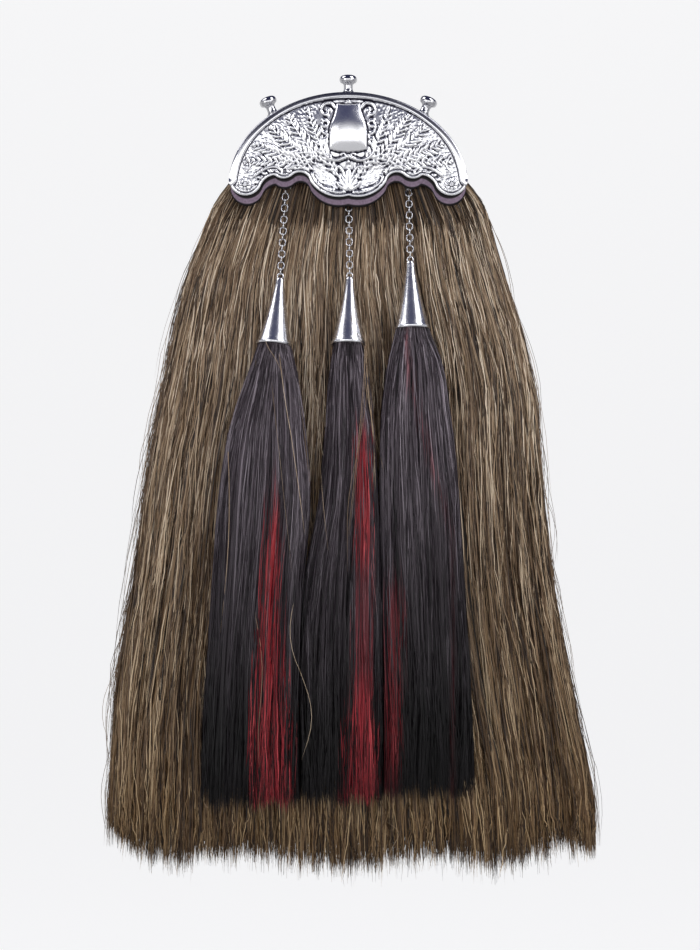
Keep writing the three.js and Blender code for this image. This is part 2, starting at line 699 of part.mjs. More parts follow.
const sporran = new THREE.Group();
sporran.add(
  part("cantle", cantle(), METAL),
  part("cantle_backing", cantleBacking(), LEATHER),
  part("knob_left", knob(-KNOB.x, -KNOB.lean), METAL),
  part("knob_centre", knob(0, 0), METAL),
  part("knob_right", knob(KNOB.x, KNOB.lean), METAL),
  part("back_panel", backPanel(), BACK_LEATHER),
  part("rear_pocket", rearPocket(), BACK_LEATHER),
  part("hair_skirt", hairSkirt(), BROWN_HAIR),
);
for (const [side, x] of [["left", -LOOP.x], ["right", LOOP.x]]) {
  const loop = part(`strap_loop_${side}`, strapLoop(), BACK_LEATHER);
  loop.position.x = x;
  sporran.add(loop);
}
for (const [side, row] of Object.entries(TASSELS)) sporran.add(tassel(side, row));

export default sporran;
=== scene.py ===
import math

import bpy
import numpy as np
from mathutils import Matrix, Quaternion, Vector
from numpy.lib.stride_tricks import sliding_window_view


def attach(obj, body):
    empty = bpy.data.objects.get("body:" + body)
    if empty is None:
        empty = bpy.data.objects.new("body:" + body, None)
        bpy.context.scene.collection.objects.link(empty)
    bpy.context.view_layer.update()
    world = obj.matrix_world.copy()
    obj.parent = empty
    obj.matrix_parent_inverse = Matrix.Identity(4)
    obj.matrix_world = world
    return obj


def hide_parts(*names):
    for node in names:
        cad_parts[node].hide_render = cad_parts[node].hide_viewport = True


MM = 0.001

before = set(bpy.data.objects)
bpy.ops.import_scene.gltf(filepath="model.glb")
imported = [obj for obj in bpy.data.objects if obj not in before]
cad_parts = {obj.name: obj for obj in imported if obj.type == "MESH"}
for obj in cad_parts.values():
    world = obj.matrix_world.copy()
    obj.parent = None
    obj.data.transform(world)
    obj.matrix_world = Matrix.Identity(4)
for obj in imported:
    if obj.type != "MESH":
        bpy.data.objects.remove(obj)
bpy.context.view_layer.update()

# Sizes. Most are as the part's source has them, and the rims, the leaves and the hem have their own.
ARCH = {"half_width": 77, "height": 61, "centre_z": -28}
NOTCH = (0, -33.5)
SCALLOPS = [  # x, z and the swell of the arc that ends there
    (24.5, -24.5, 4.3),
    (35.8, -20.5, -3.6),
    (47.4, -20.5, 2.2),
    (56.3, -27.5, -1.6),
    (76.7, -21.4, 9),
]
PLATE = {"front": -15.8, "back": -14.6}
WALL = {"inset": 0.3, "thick": 1.3, "back": -3, "share": 0.996, "inner_share": 0.979}
DOME = {"rise": 2.6, "half_width": 64, "half_height": 22, "centre_z": 3}
RIM = {"width": 3.9, "side_width": 5.2, "rise": 1.6, "edge_width": 1.7, "edge_rise": 1.0, "crest": 0.72}
LIP = {"front": -14.3, "back": -12.7, "drop": 6.5, "side_share": 0.985}
# x and z of the shield's right half, from its foot up.
SHIELD = [(0, -6.4), (6.5, -5.6), (12.2, -4), (12.3, 3), (11.6, 11), (8.9, 19), (7.6, 24), (0, 25.4)]
KNOB = {"x": 48.3, "lean": 23, "centre_y": -9.4}
LINK = {"radius": 2, "stretch": 0.5, "wire": 0.43, "play": 0.25}
EYE = {"radius": 1.9, "wire": 0.45, "y": -9.1}
CONE = {"top": 2.5, "base": 11.3, "height": 44.3, "neck": 1.2, "wall": 0.8, "roof": 4}
LEAF = {"width": 0.36, "turn": 38}
FANS = [  # x, z, heading, spread, leaves, length
    (0, -30, 90, 27, 5, 14),
    (0, 23.5, 90, 45, 3, 5.5),
]
SKIRT = np.array([  # z, left, right, front, back
    (0, -58, 58, -5.8, -3.6),
    (-19, -72, 72, -5.8, -3.4),
    (-38, -85.5, 86.5, -6.4, -3.3),
    (-56, -92.5, 92, -9.2, -3.3),
    (-82, -102.5, 99, -13.2, -3.3),
    (-120, -111, 111, -17.5, -3.3),
    (-160, -118.5, 119.5, -20.6, -3.3),
    (-207, -127.5, 123.5, -23.6, 3),
    (-277, -137, 130.5, -26.5, 6.5),
    (-352, -149, 143.5, -28.5, 8),
    (-420, -153, 156.5, -29.5, 8),
    (-470, -155, 159.5, -28.5, 7),
])
HEM = np.array([  # x, z of the ragged lower edge
    (-153, -437), (-147, -447), (-128, -459), (-101, -459), (-70, -456), (-38, -459), (-17, -463),
    (1, -465), (25, -460), (50, -456), (88, -464), (110, -459), (127, -454), (138, -448),
    (155, -453), (160, -442),
])
TASSELS = {  # levels are z, left, right, thickness
    "left": {
        "loop": (-43.5, -22.5, -85.9), "side": -5, "forward": 10, "links": 14, "start_x": -40.5,
        "tip": -419,
        "levels": [(-150, -64, -33, 19), (-184, -75, -28, 19), (-216, -80.5, -25, 19),
                   (-293, -86, -30, 20), (-404, -92.5, -31, 21)],
    },
    "centre": {
        "loop": (0.9, -22.5, -85.4), "side": -1, "forward": 10, "links": 13, "start_x": 0.2,
        "tip": -416,
        "levels": [(-150, -11.8, 12.2, 19), (-184, -13.8, 16.2, 19), (-216, -16, 17.8, 19),
                   (-293, -28.6, 21, 20), (-402, -29.8, 22, 21)],
    },
    "right": {
        "loop": (39.6, -23.4, -75.2), "side": 1.5, "forward": 8, "links": 12, "start_x": 38.8,
        "tip": -412.5,
        "levels": [(-141, 26.2, 59.2, 19), (-174, 21.6, 64.4, 19), (-206, 20.6, 68, 19),
                   (-293, 22.4, 74, 20), (-400, 23.4, 79.4, 21)],
    },
}
# Red streaks in the tassels: z, middle x, half width, strength.
REDS = {
    "left": [[(-205, -47, 2.5, 0), (-226, -47, 3.5, 0.45), (-246, -47.3, 5, 1), (-316, -50, 8, 1),
              (-356, -48.4, 12.5, 1), (-422, -48.2, 11, 1)]],
    "centre": [[(-178, 10, 3.5, 0), (-190, 10, 5.5, 1), (-262, 10, 5.5, 0.95), (-275, 9.5, 5.5, 0.35),
                (-335, 9, 6, 0.4), (-356, 7.5, 9, 1), (-420, 7.2, 10.5, 1)]],
    "right": [[(-276, 29.5, 4, 0), (-290, 29.3, 6, 0.5), (-392, 27.5, 6.5, 0.45), (-415, 25, 6, 0.3)],
              [(-120, 36, 1.4, 0.35), (-160, 41, 1.4, 0.4), (-215, 56, 1.6, 0.35), (-250, 66, 1.6, 0.1)]],
}


# Nodes


class Shader:
    """A material's nodes, made by short calls."""

    def __init__(self, name, **sockets):
        self.material = bpy.data.materials.new(name)
        self.material.use_nodes = True
        self.nodes = self.material.node_tree.nodes
        self.links = self.material.node_tree.links
        self.bsdf = self.nodes["Principled BSDF"]
        for socket, value in sockets.items():
            self.bsdf.inputs[socket.replace("_", " ")].default_value = value

    def put(self, value, socket):
        if isinstance(value, bpy.types.NodeSocket):
            self.links.new(value, socket)
        else:
            socket.default_value = value

    def node(self, kind, output=0, settings=None, **inputs):
        """A new node's output. Inputs called i0, i1 and so on go by place, the others by name."""
        made = self.nodes.new("ShaderNode" + kind)
        for key, value in (settings or {}).items():
            setattr(made, key, value)
        for key, value in inputs.items():
            index = int(key[1:]) if key[0] == "i" and key[1:].isdigit() else key
            self.put(value, made.inputs[index])
        return made.outputs[output]

    def attribute(self, name):
        return self.node("Attribute", "Fac", {"attribute_name": name})

    def math(self, operation, a, b=0.0, clamp=False):
        return self.node("Math", 0, {"operation": operation, "use_clamp": clamp}, i0=a, i1=b)

    def noise(self, scale, stretch=(1, 1, 1), detail=2.0):
        place = self.node("TexCoord", "Object")
        scaled = self.node("VectorMath", 0, {"operation": "MULTIPLY"}, i0=place, i1=stretch)
        return self.node("TexNoise", Vector=scaled, Scale=scale, Detail=detail)

    def ramp(self, factor, stops):
        colour = self.node("ValToRGB", Fac=factor)
        elements = colour.node.color_ramp.elements
        while len(elements) < len(stops):
            elements.new(1.0)
        for element, (place, rgb) in zip(elements, stops):
            element.position = place
            element.color = (*rgb, 1)
        return colour

    def mix(self, factor, a, b):
        made = self.nodes.new("ShaderNodeMix")
        made.data_type = "RGBA"
        for value, socket in ((factor, 0), (a, 6), (b, 7)):
            if isinstance(value, tuple):
                value = (*value, 1)
            self.put(value, made.inputs[socket])
        return made.outputs[2]

    def tint(self, factor, colour, by):
        """A colour, multiplied by another as far as the factor goes."""
        made = self.mix(factor, colour, by)
        made.node.blend_type = "MULTIPLY"
        return made

    def span(self, value, low, high):
        """A value from 0 to 1, spread from low to high."""
        return self.node("MapRange", Value=value, i3=low, i4=high)

    def colour(self, value):
        self.put(value, self.bsdf.inputs["Base Color"])

    def roughness(self, value):
        self.put(value, self.bsdf.inputs["Roughness"])

    def bump(self, height, strength, distance):
        made = self.node("Bump", Height=height, Strength=strength, Distance=distance)
        self.put(made, self.bsdf.inputs["Normal"])


def linear(red, green, blue):
    """A colour as a screen shows it, from 0 to 255, as the light that it stands for."""
    return tuple(((c / 255 + 0.055) / 1.055) ** 2.4 if c > 10 else c / 3295 for c in (red, green, blue))


def silver_material():
    look = Shader("silver", Metallic=1.0)
    # The colour runs from bright silver to near black with the recess value, mottled by noise: painted shade
    # in the relief's recesses and a painted dark reflection on the arch's outer slope.
    painted_dark = look.attribute("painted_dark")
    polish = look.attribute("polish")
    shade_mottle = look.noise(900, detail=4.0)
    depth = look.math("MULTIPLY", painted_dark, look.span(shade_mottle, 0.8, 1.15), clamp=True)
    look.colour(look.ramp(depth, [
        (0, (0.9, 0.9, 0.92)),
        (0.35, (0.62, 0.62, 0.66)),
        (0.75, (0.05, 0.048, 0.07)),
        (1, (0.012, 0.011, 0.02)),
    ]))
    # Polish makes the metal smoother, and the recesses with painted shade are rougher.
    multiply_add = {"operation": "MULTIPLY_ADD", "use_clamp": True}
    rough = look.node("Math", 0, multiply_add, i0=polish, i1=-0.16, i2=0.24)
    rough = look.math("ADD", rough, look.math("MULTIPLY", depth, 0.3))
    look.roughness(look.math("ADD", rough, look.span(look.noise(160, detail=3.0), -0.03, 0.03), clamp=True))
    return look.material


# shade scales the silver's colour down: darker copies of one silver, which paint shade on the parts that use
# them.
def smooth_silver_material(name, shade, smoothest, roughest):
    look = Shader(name, Metallic=1.0)
    worn = look.noise(220, detail=4.0)
    look.colour(look.ramp(worn, [
        (0.3, (0.9 * shade, 0.9 * shade, 0.95 * shade)), (0.7, (shade, shade, 1.02 * shade)),
    ]))
    look.roughness(look.span(worn, smoothest, roughest))
    look.bump(look.noise(1400, detail=2.0), 0.04, 0.0002)
    return look.material


def hair_tone(look, spread):
    """Each strand's own tone, from 0, dark, to 1, light, which varies along its length."""
    streak = look.noise(60, (6, 6, 0.35), detail=3.0)
    return look.math("ADD", look.attribute("tone"), look.span(streak, -spread, spread), clamp=True)


def brown_hair_material():
    look = Shader("brown_horsehair", Roughness=0.4, Specular_IOR_Level=0.3)
    tone = hair_tone(look, 0.14)
    hair = look.ramp(tone, [
        (0, linear(24, 17, 13)),
        (0.25, linear(66, 50, 38)),
        (0.5, linear(120, 97, 75)),
        (0.75, linear(168, 144, 116)),
        (1, linear(226, 208, 184)),
    ])
    # fall tints the hair olive and darker towards its lower end: partly its own colour, partly painted shade.
    look.colour(look.tint(look.attribute("fall"), hair, (0.57, 0.485, 0.345)))
    return look.material


def black_hair_material():
    look = Shader("black_horsehair", Roughness=0.4, Specular_IOR_Level=0.2)
    tone = hair_tone(look, 0.15)
    black = look.ramp(tone, [(0, linear(14, 11, 14)), (0.5, linear(74, 65, 72)), (1, linear(160, 150, 158))])
    # fall darkens the black hair to near black towards its lower end: a painted sheen on the upper part and
    # painted shade below.
    black = look.tint(look.attribute("fall"), black, (0.03, 0.025, 0.03))
    red = look.ramp(tone, [(0, linear(46, 8, 14)), (0.5, linear(142, 32, 42)), (1, linear(206, 84, 88))])
    look.colour(look.mix(look.attribute("red"), black, red))
    return look.material


def lip_material():
    look = Shader("plum_leather", Roughness=0.45, Specular_IOR_Level=0.25)
    grain = look.noise(700, detail=5.0)
    plum = look.ramp(grain, [(0.3, linear(104, 87, 103)), (0.7, linear(137, 119, 136))])
    # edge mixes in near black: the black paint of the lower edge, and painted shadow under the metal's edge.
    look.colour(look.mix(look.attribute("edge"), plum, linear(8, 2, 6)))
    look.bump(grain, 0.2, 0.0003)
    return look.material


def leather_material():
    look = Shader("back_leather", Specular_IOR_Level=0.4)
    place = look.node("TexCoord", "Object")
    cells = look.node("TexVoronoi", 0, {"feature": "DISTANCE_TO_EDGE"}, Vector=place, Scale=750.0)
    pores = look.ramp(cells, [(0.0, (0.25, 0.25, 0.25)), (0.18, (1, 1, 1))])
    worn = look.noise(14, detail=6.0)
    look.colour(look.ramp(worn, [
        (0.3, linear(38, 30, 34)),
        (0.6, linear(50, 41, 45)),
        (0.8, linear(72, 61, 62)),
    ]))
    look.roughness(look.span(worn, 0.42, 0.62))
    look.bump(pores, 0.35, 0.0003)
    return look.material


def thread_material():
    look = Shader("waxed_thread", Roughness=0.6)
    place = look.node("TexCoord", "Object")
    twist = look.node("TexWave", Vector=place, Scale=600.0, Distortion=1.0)
    look.colour(look.ramp(twist, [(0, linear(120, 104, 92)), (1, linear(176, 160, 140))]))
    return look.material


# Each finish: a material, and the slot that it stands for.
SILVER = (silver_material(), "silver")
# The knobs, the chains and the cones use darker copies of the cantle's silver: painted shade.
SHADED_KNOB_SILVER = (smooth_silver_material("knob_silver_shaded", 0.56, 0.08, 0.18), "silver")
SHADED_CHAIN_SILVER = (smooth_silver_material("chain_silver_shaded", 0.6, 0.12, 0.24), "silver")
SHADED_CONE_SILVER = (smooth_silver_material("cone_silver_shaded", 0.78, 0.2, 0.3), "silver")
BROWN_HAIR = (brown_hair_material(), "brown_hair")
BLACK_HAIR = (black_hair_material(), "black_hair")
PLUM_LEATHER = (lip_material(), "lip_leather")
BACK_LEATHER = (leather_material(), "back_leather")
THREAD = (thread_material(), "back_leather")


# Meshes


def grid_faces(rows, columns, closed=False, start=0):
    """Four-sided faces of a grid whose points run row by row. closed joins its last column to its first."""
    r, c = np.meshgrid(np.arange(rows - 1), np.arange(columns if closed else columns - 1), indexing="ij")
    nxt = (c + 1) % columns
    corners = (r * columns + c, (r + 1) * columns + c, (r + 1) * columns + nxt, r * columns + nxt)
    return np.stack(corners, -1).reshape(-1, 4) + start


def new_mesh(name, points, faces, values):
    """A smooth mesh. points are metres, and values are numbers per point."""
    mesh = bpy.data.meshes.new(name)
    mesh.from_pydata(points.tolist(), [], faces)
    mesh.polygons.foreach_set("use_smooth", np.ones(len(mesh.polygons), bool))
    for key, value in values.items():
        data = mesh.attributes.new(key, "FLOAT", "POINT").data
        data.foreach_set("value", np.asarray(value, np.float32).ravel())
    return mesh


def add_object(name, data):
    thing = bpy.data.objects.new(name, data)
    bpy.context.scene.collection.objects.link(thing)
    return thing


def make_piece(name, points, faces, finish, replaces=(), values=None, cells=None):
    """A mesh piece that rides on the root. points are millimetres, and cells their places in a UV map."""
    material, slot = finish
    groups = faces if isinstance(faces, list) else [faces]
    faces = [face for group in groups for face in group.tolist()]
    mesh = new_mesh(name, np.asarray(points) * MM, faces, values or {})
    if cells is not None:
        corner = np.empty(len(mesh.loops), np.int32)
        mesh.loops.foreach_get("vertex_index", corner)
        layer = mesh.uv_layers.new(name="OFBake")
        layer.data.foreach_set("uv", cells[corner].astype(np.float32).ravel())
    mesh.materials.append(material)
    mesh.update()
    piece = add_object(name, mesh)
    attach(piece, "root")
    if replaces:
        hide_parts(*replaces)


def stacked(*axes):
    """Points from their coordinates, each an array or one number for all."""
    return np.stack(np.broadcast_arrays(*axes), -1)


def tube_faces(rings, sides):
    """Faces of a closed tube. Its rings of points come first, then a point for each end."""
    first_end = rings * sides
    last_ring = first_end - sides
    i = np.arange(sides)
    j = (i + 1) % sides
    ends = [stacked(first_end, j, i), stacked(first_end + 1, last_ring + i, last_ring + j)]
    return [grid_faces(rings, sides, closed=True)[:, ::-1], *ends]


def turned(profile, sides):
    """Points and faces of a turned shape. Its profile is (radius, height) and starts and ends on the axis."""
    profile = np.array(profile, float)
    turn = np.linspace(0, 2 * math.pi, sides, endpoint=False)
    body = profile[1:-1]
    rings = stacked(body[:, :1] * np.cos(turn), body[:, :1] * np.sin(turn), body[:, 1:]).reshape(-1, 3)
    points = np.vstack([rings, [0, 0, profile[0, 1]], [0, 0, profile[-1, 1]]])
    return points, tube_faces(len(body), sides)


def hermite(knots, values, at):
    """A smooth curve through values at rising knots, read at the places at."""
    slopes = np.gradient(values, knots)
    i = np.clip(np.searchsorted(knots, at) - 1, 0, len(knots) - 2)
    step = knots[i + 1] - knots[i]
    s = np.clip((at - knots[i]) / step, 0, 1)
    rest = 1 - s
    return (
        (1 + 2 * s) * rest**2 * values[i]
        + s * rest**2 * step * slopes[i]
        + s**2 * (3 - 2 * s) * values[i + 1]
        - s**2 * rest * step * slopes[i + 1]
    )


def curve_through(points, steps):
    """A smooth path through a few points, with a number of steps from each to the next."""
    points = np.array(points, float)
    knots = np.arange(len(points), dtype=float)
    at = np.linspace(0, len(points) - 1, steps * (len(points) - 1) + 1)
    return np.stack([hermite(knots, points[:, k], at) for k in (0, 1)], -1)


def runs_of(path):
    """How far along a path each of its points lies."""
    return np.concatenate([[0], np.cumsum(np.linalg.norm(np.diff(path, axis=0), axis=1))])


def place_on(path, runs, run, ahead):
    """The point at a run along a path in X and Z, and the heading from it to a point a little ahead."""
    x, z = (np.interp(run, runs, path[:, k]) for k in (0, 1))
    next_x, next_z = (np.interp(run + ahead, runs, path[:, k]) for k in (0, 1))
    return x, z, math.atan2(next_z - z, next_x - x)


def at_level(table, z, column, **ends):
    """A column of a table, read at the height z. Its first column is z, from the top down."""
    return np.interp(-z, -table[:, 0], table[:, column], **ends)


def joined(parts):
    """Several (points, faces) as one."""
    points, faces, start = [], [], 0
    for own, groups in parts:
        points.append(own)
        faces += [group + start for group in (groups if isinstance(groups, list) else [groups])]
        start += len(own)
    return np.vstack(points), faces


def turned_to(points, quaternion, place):
    return points @ np.array(quaternion.to_matrix()).T + np.array(place)


# The cantle


def arc_between(start, end, bow, steps):
    """Points of an arc from start to end, which swells to the right of its way by bow."""
    (x0, z0), (x1, z1) = start, end
    chord = math.hypot(x1 - x0, z1 - z0)
    radius = chord * chord / (8 * bow) + bow / 2
    half = 2 * math.atan(2 * bow / chord)
    along = math.atan2(z1 - z0, x1 - x0)
    turn = half * (-1 + 2 * np.arange(1, steps + 1) / steps)
    run = chord / 2 + radius * np.sin(turn)
    swell = radius * (np.cos(turn) - math.cos(half))
    return stacked(
        x0 + run * math.cos(along) + swell * math.sin(along),
        z0 + run * math.sin(along) - swell * math.cos(along),
    )


def scalloped_edge(drop=0.0, side_share=1.0, steps=40):
    """The scalloped edge from the left side to the right side."""
    half = [np.array([NOTCH], float)]
    for x, z, bow in SCALLOPS:
        half.append(arc_between(half[-1][-1], (x, z), bow, steps))
    right = np.vstack(half) * (side_share, 1) - (0, drop)
    left = right[1:] * (-1, 1)
    return np.vstack([left[::-1], right])


def arch_top(x, inset=0.0):
    a, b = ARCH["half_width"] - inset, ARCH["height"] - inset
    return ARCH["centre_z"] + b * np.sqrt(np.maximum(0, 1 - (x / a) ** 2))


def way_to(points, path):
    """The distance from each point to a path, and how far along it the nearest place is, from 0 to 1."""
    path = np.array(path, float)
    runs = runs_of(path)
    steps = np.linalg.norm(np.diff(path, axis=0), axis=1)
    best = np.full(points.shape[:-1], np.inf)
    along = np.zeros(points.shape[:-1])
    for a, b, run, step in zip(path[:-1], path[1:], runs, steps):
        offset = points - a
        share = np.clip(offset @ (b - a) / step**2, 0, 1)
        gap = np.linalg.norm(offset - share[..., None] * (b - a), axis=-1)
        nearer = gap < best
        best = np.where(nearer, gap, best)
        along = np.where(nearer, (run + share * step) / runs[-1], along)
    return best, along


class Relief:
    """The raised work on the plate, as a height over a grid of points in X and Z."""

    def __init__(self, x, z):
        self.place = stacked(x, z)
        self.height = np.zeros(x.shape)
        self.columns = x[:, 0]

    def near(self, low, high):
        """The columns of the grid between two places along X."""
        return slice(*np.searchsorted(self.columns, (low, high)))

    def raise_to(self, part, height):
        self.height[part] = np.maximum(self.height[part], height)

    def leaf(self, x, z, heading, length, width, rise, lobes=0.0, vein=0.0):
        part = self.near(x - length, x + length)
        offset = self.place[part] - (x, z)
        way = np.array([math.cos(heading), math.sin(heading)])
        along = offset @ way / length
        aside = np.abs(offset @ np.array([-way[1], way[0]]))
        inside = (along > 0) & (along < 1)
        along = np.clip(along, 1e-4, 1 - 1e-4)
        half = width / 2 * np.sin(math.pi * along**0.8) ** 0.75
        half = half * (1 + lobes * np.cos(along * math.pi * 9))
        share = np.clip(aside / np.maximum(half, 1e-4), 0, 1)
        body = rise * np.sqrt(1 - share**2) * (0.55 + 0.45 * np.sin(math.pi * along))
        groove = vein * rise * np.exp(-((aside / 0.28) ** 2)) * (along < 0.85)
        self.raise_to(part, np.where(inside & (share < 1), np.maximum(body - groove, 0.08), 0))

    def wire(self, path, radius, rise, end_share=1.0):
        path = np.array(path, float)
        part = self.near(path[:, 0].min() - 2 * radius, path[:, 0].max() + 2 * radius)
        gap, along = way_to(self.place[part], path)
        own = radius * (1 + (end_share - 1) * along)
        self.raise_to(part, rise * np.sqrt(np.maximum(0, 1 - (gap / own) ** 2)) * (own / radius))

    def knot(self, x, z, radius, rise, petals=0):
        part = self.near(x - radius, x + radius)
        offset = self.place[part] - (x, z)
        gap = np.linalg.norm(offset, axis=-1)
        turn = np.arctan2(offset[..., 1], offset[..., 0])
        lobes = 0.75 + 0.25 * np.cos(petals * turn) if petals else 1.0
        ring = np.sqrt(np.maximum(0, 1 - (gap / radius) ** 2)) * lobes
        grooves = 0.45 * np.exp(-(((gap - radius * 0.38) / 0.3) ** 2)) if petals else 0.0
        self.raise_to(part, np.maximum(0, rise * (ring - grooves)))


# Scrolls of the fine relief on the right half, mirrored on the left: wire, share at the end, points.
FINE_SCROLLS = [
    (1.15, 0.8, [(2.2, -9.3), (5.5, -10.6), (9, -10.9), (13, -9.4), (16, -6), (17.4, -2), (16.8, 1.4),
                 (14.6, 2.4), (13.3, 0.9), (14.3, -0.5)]),
    (0.8, 0.8, [(2.2, -9.3), (1.6, -7.4), (3.2, -6.3), (4.5, -7.5)]),
    (0.95, 0.7, [(60, -20.5), (54, -16.5), (47.5, -15), (42.5, -17.8), (43.6, -19.2)]),
    (0.9, 0.7, [(39, -16.6), (34, -14.2), (29.5, -15.4), (26, -19), (22.5, -24), (16.5, -27.6),
                (9, -29.6)]),
    (0.9, 0.7, [(0.6, -27), (2.4, -20.5), (5.6, -15.6), (9.2, -14.6), (10.8, -17), (9.2, -18.7),
                (7.9, -17.4)]),
    (0.95, 0.7, [(8.4, 23), (11.4, 26), (15.6, 25), (17.4, 21.4), (15.6, 18.6), (13, 19.6),
                 (13.8, 21.4)]),
    (0.85, 0.6, [(11.6, 5), (15.6, 6.4), (17.4, 10.2), (16, 14), (12.8, 13.4), (13.2, 11.4)]),
    (0.8, 0.6, [(0, 29.6), (4.5, 29), (9, 27)]),
    (0.8, 0.6, [(70.5, -13), (66, -8), (63, -14), (66.5, -19)]),
]
SPRAYS = [  # root, tip, bend, pairs of leaves, length of leaf
    ((4, -24), (25, 19), -5, 13, 7.0),
    ((13, -14), (37.5, 15.5), -4, 10, 7.6),
    ((18, -11), (48.5, 9), -4, 10, 8.0),
    ((21, -13), (59, -1), -2, 11, 7.6),
    ((22, -17), (65, -11.5), 4, 12, 6.6),
]
STROKES = {"half_width": 73, "half_height": 31, "pitch": 2.4, "stray": 0.8}
CLEARING = {"half_width": 21, "half_height": 24, "centre_z": 9}
EDGE_LEAF = {"pitch": 2.9, "inset": 1.3, "turn": 0.75, "length": 4.6, "width": 2.1}
FLUTES = {"count": 9, "first": -52, "turn": 13, "half_width": 13.5, "half_height": 15, "centre_z": 11}
ROSETTE = {"x": 66.4, "z": -26.4, "radius": 4.3, "petals": 8}


def spray_path(root, tip, bend, side):
    root, tip = (np.array(point, float) * (side, 1) for point in (root, tip))
    across = np.array([root[1] - tip[1], tip[0] - root[0]])
    bent = (root + tip) / 2 + across / np.linalg.norm(across) * bend * side
    t = np.linspace(0, 1, 25)[:, None]
    return (1 - t) ** 2 * root + 2 * t * (1 - t) * bent + t**2 * tip


def add_spray(relief, row, side, rng):
    root, tip, bend, pairs, longest = row
    path = spray_path(root, tip, bend, side)
    relief.wire(path, 0.55, 0.9, 0.6)
    heading = np.unwrap(np.arctan2(np.gradient(path[:, 1]), np.gradient(path[:, 0])))
    steps = np.arange(len(path))
    for i in range(2 * pairs):
        share = (i / 2 + 0.6) / pairs
        x, z = (np.interp(share * steps[-1], steps, path[:, k]) for k in (0, 1))
        way = np.interp(share * steps[-1], steps, heading)
        length = longest * (0.5 + 0.55 * math.sin(math.pi * min(1, share) ** 0.9)) * rng.uniform(0.75, 1.15)
        turn = math.radians(LEAF["turn"] + rng.uniform(-9, 9)) * (1 if i % 2 else -1)
        relief.leaf(x, z, way + turn, length, length * LEAF["width"], 1.0)
    relief.leaf(*path[-1], heading[-1], longest * 0.8, longest * 0.3, 1.0)


def add_strokes(relief, rng):
    """Small strokes that fill the ground between the sprays and grow away from the foot."""
    wide, high, pitch, stray = STROKES.values()
    for across in np.arange(-wide, wide + 1, pitch):
        for up in np.arange(-high, high + 1, pitch):
            x = across + rng.uniform(-stray, stray)
            z = up + rng.uniform(-stray, stray)
            beside = x / CLEARING["half_width"]
            above = (z - CLEARING["centre_z"]) / CLEARING["half_height"]
            if math.hypot(beside, above) < 1:
                continue
            away = math.atan2(z + 30, x - math.copysign(5, x))
            relief.leaf(x, z, away + rng.uniform(-0.5, 0.5), rng.uniform(1.8, 3.2), 0.8, 0.38)


def add_edge_leaves(relief, edge):
    """Small curled leaves along the scallops, which grow away from the middle."""
    runs = runs_of(edge)
    for run in np.arange(1, runs[-1], EDGE_LEAF["pitch"]):
        x, z, way = place_on(edge, runs, run, 0.6)
        grow = way + EDGE_LEAF["turn"] if x > 0 else way + math.pi - EDGE_LEAF["turn"]
        x -= EDGE_LEAF["inset"] * math.sin(way)
        z += EDGE_LEAF["inset"] * math.cos(way)
        relief.leaf(x, z, grow, EDGE_LEAF["length"], EDGE_LEAF["width"], 1.1, 0.1, 0.35)


def add_ornaments(relief):
    """Scrolls, fans of leaves, flutes that frame the shield, two rosettes and two bosses below the shield."""
    for wire, end_share, points in FINE_SCROLLS:
        for side in (1, -1):
            path = curve_through([(x * side, z) for x, z in points], 8)
            relief.wire(path, wire, wire * 1.25, end_share)
    for x, z, heading, spread, leaves, length in FANS:
        for i in range(leaves):
            turn = spread * (i - (leaves - 1) / 2)
            size = length * (1 - abs(turn) / 180)
            relief.leaf(x, z, math.radians(heading + turn), size, size * 0.5, 1.4, 0.08, 0.5)
    for side in (1, -1):
        for i in range(FLUTES["count"]):
            angle = math.radians(FLUTES["first"] + FLUTES["turn"] * i)
            x = FLUTES["half_width"] * math.cos(angle)
            z = FLUTES["centre_z"] + FLUTES["half_height"] * math.sin(angle)
            relief.leaf(x * side, z, math.atan2(math.sin(angle), math.cos(angle) * side), 4.6, 2.2, 0.8)
        relief.knot(ROSETTE["x"] * side, ROSETTE["z"], ROSETTE["radius"], 1.9, ROSETTE["petals"])
    relief.knot(0, -8.6, 1.5, 1.4)
    relief.knot(0, -12, 1.1, 1.2)


def rim_height(gap, width, rise):
    """The raised rim at a distance in from its edge: a long round slope outside, a short one inside."""
    crest = RIM["crest"] * width
    outer = 0.3 + 0.7 * np.sqrt(np.maximum(0, 1 - (1 - np.minimum(gap, crest) / crest) ** 2))
    inner = np.sqrt(np.maximum(0, 1 - (np.maximum(gap - crest, 0) / (width - crest)) ** 2))
    return rise * np.where(gap < crest, outer, inner) * (gap < width)


def blurred(field, reach):
    """A field smoothed over its neighbours, which counts its edge as repeated."""
    for axis in (0, 1):
        pad = np.zeros((2, 2), int)
        pad[axis] = reach
        windows = sliding_window_view(np.pad(field, pad, "edge"), 2 * reach + 1, axis)
        field = windows.mean(-1)
    return field


def column_places(half_width, count):
    """Places along X, closer together towards both sides."""
    even = np.linspace(-1, 1, count)
    return half_width * (0.62 * even + 0.38 * np.sin(even * math.pi / 2))


def shield_share(x, z):
    """How far a point lies from the shield's middle to its side, and to its top or foot: 1 is the edge."""
    outline = np.array(SHIELD, float)
    foot = np.interp(np.abs(x), outline[:3, 0], outline[:3, 1])
    side = hermite(outline[2:-1, 1], outline[2:-1, 0], z)
    middle = 9.5
    up = np.where(z > middle, (z - middle) / (SHIELD[-1][1] - middle), (middle - z) / (middle - foot))
    return np.abs(x) / side, np.maximum(up, 0)


def add_shield(relief, across, up):
    """A plain shield that swells towards its middle, with a rounded edge and clear ground round it."""
    near = np.maximum(across, up)
    body = 0.7 + 2.9 * (1 - 0.75 * np.minimum(across, 1) ** 2) * (1 - 0.8 * np.minimum(up, 1) ** 2.6)
    bevel = np.sqrt(np.maximum(0, 1 - np.clip((near - 0.9) / 0.1, 0, 1) ** 2))
    clear = np.clip((near - 1) / 0.05, 0, 1)
    relief.height = np.where(near < 1, body * bevel, relief.height * clear)


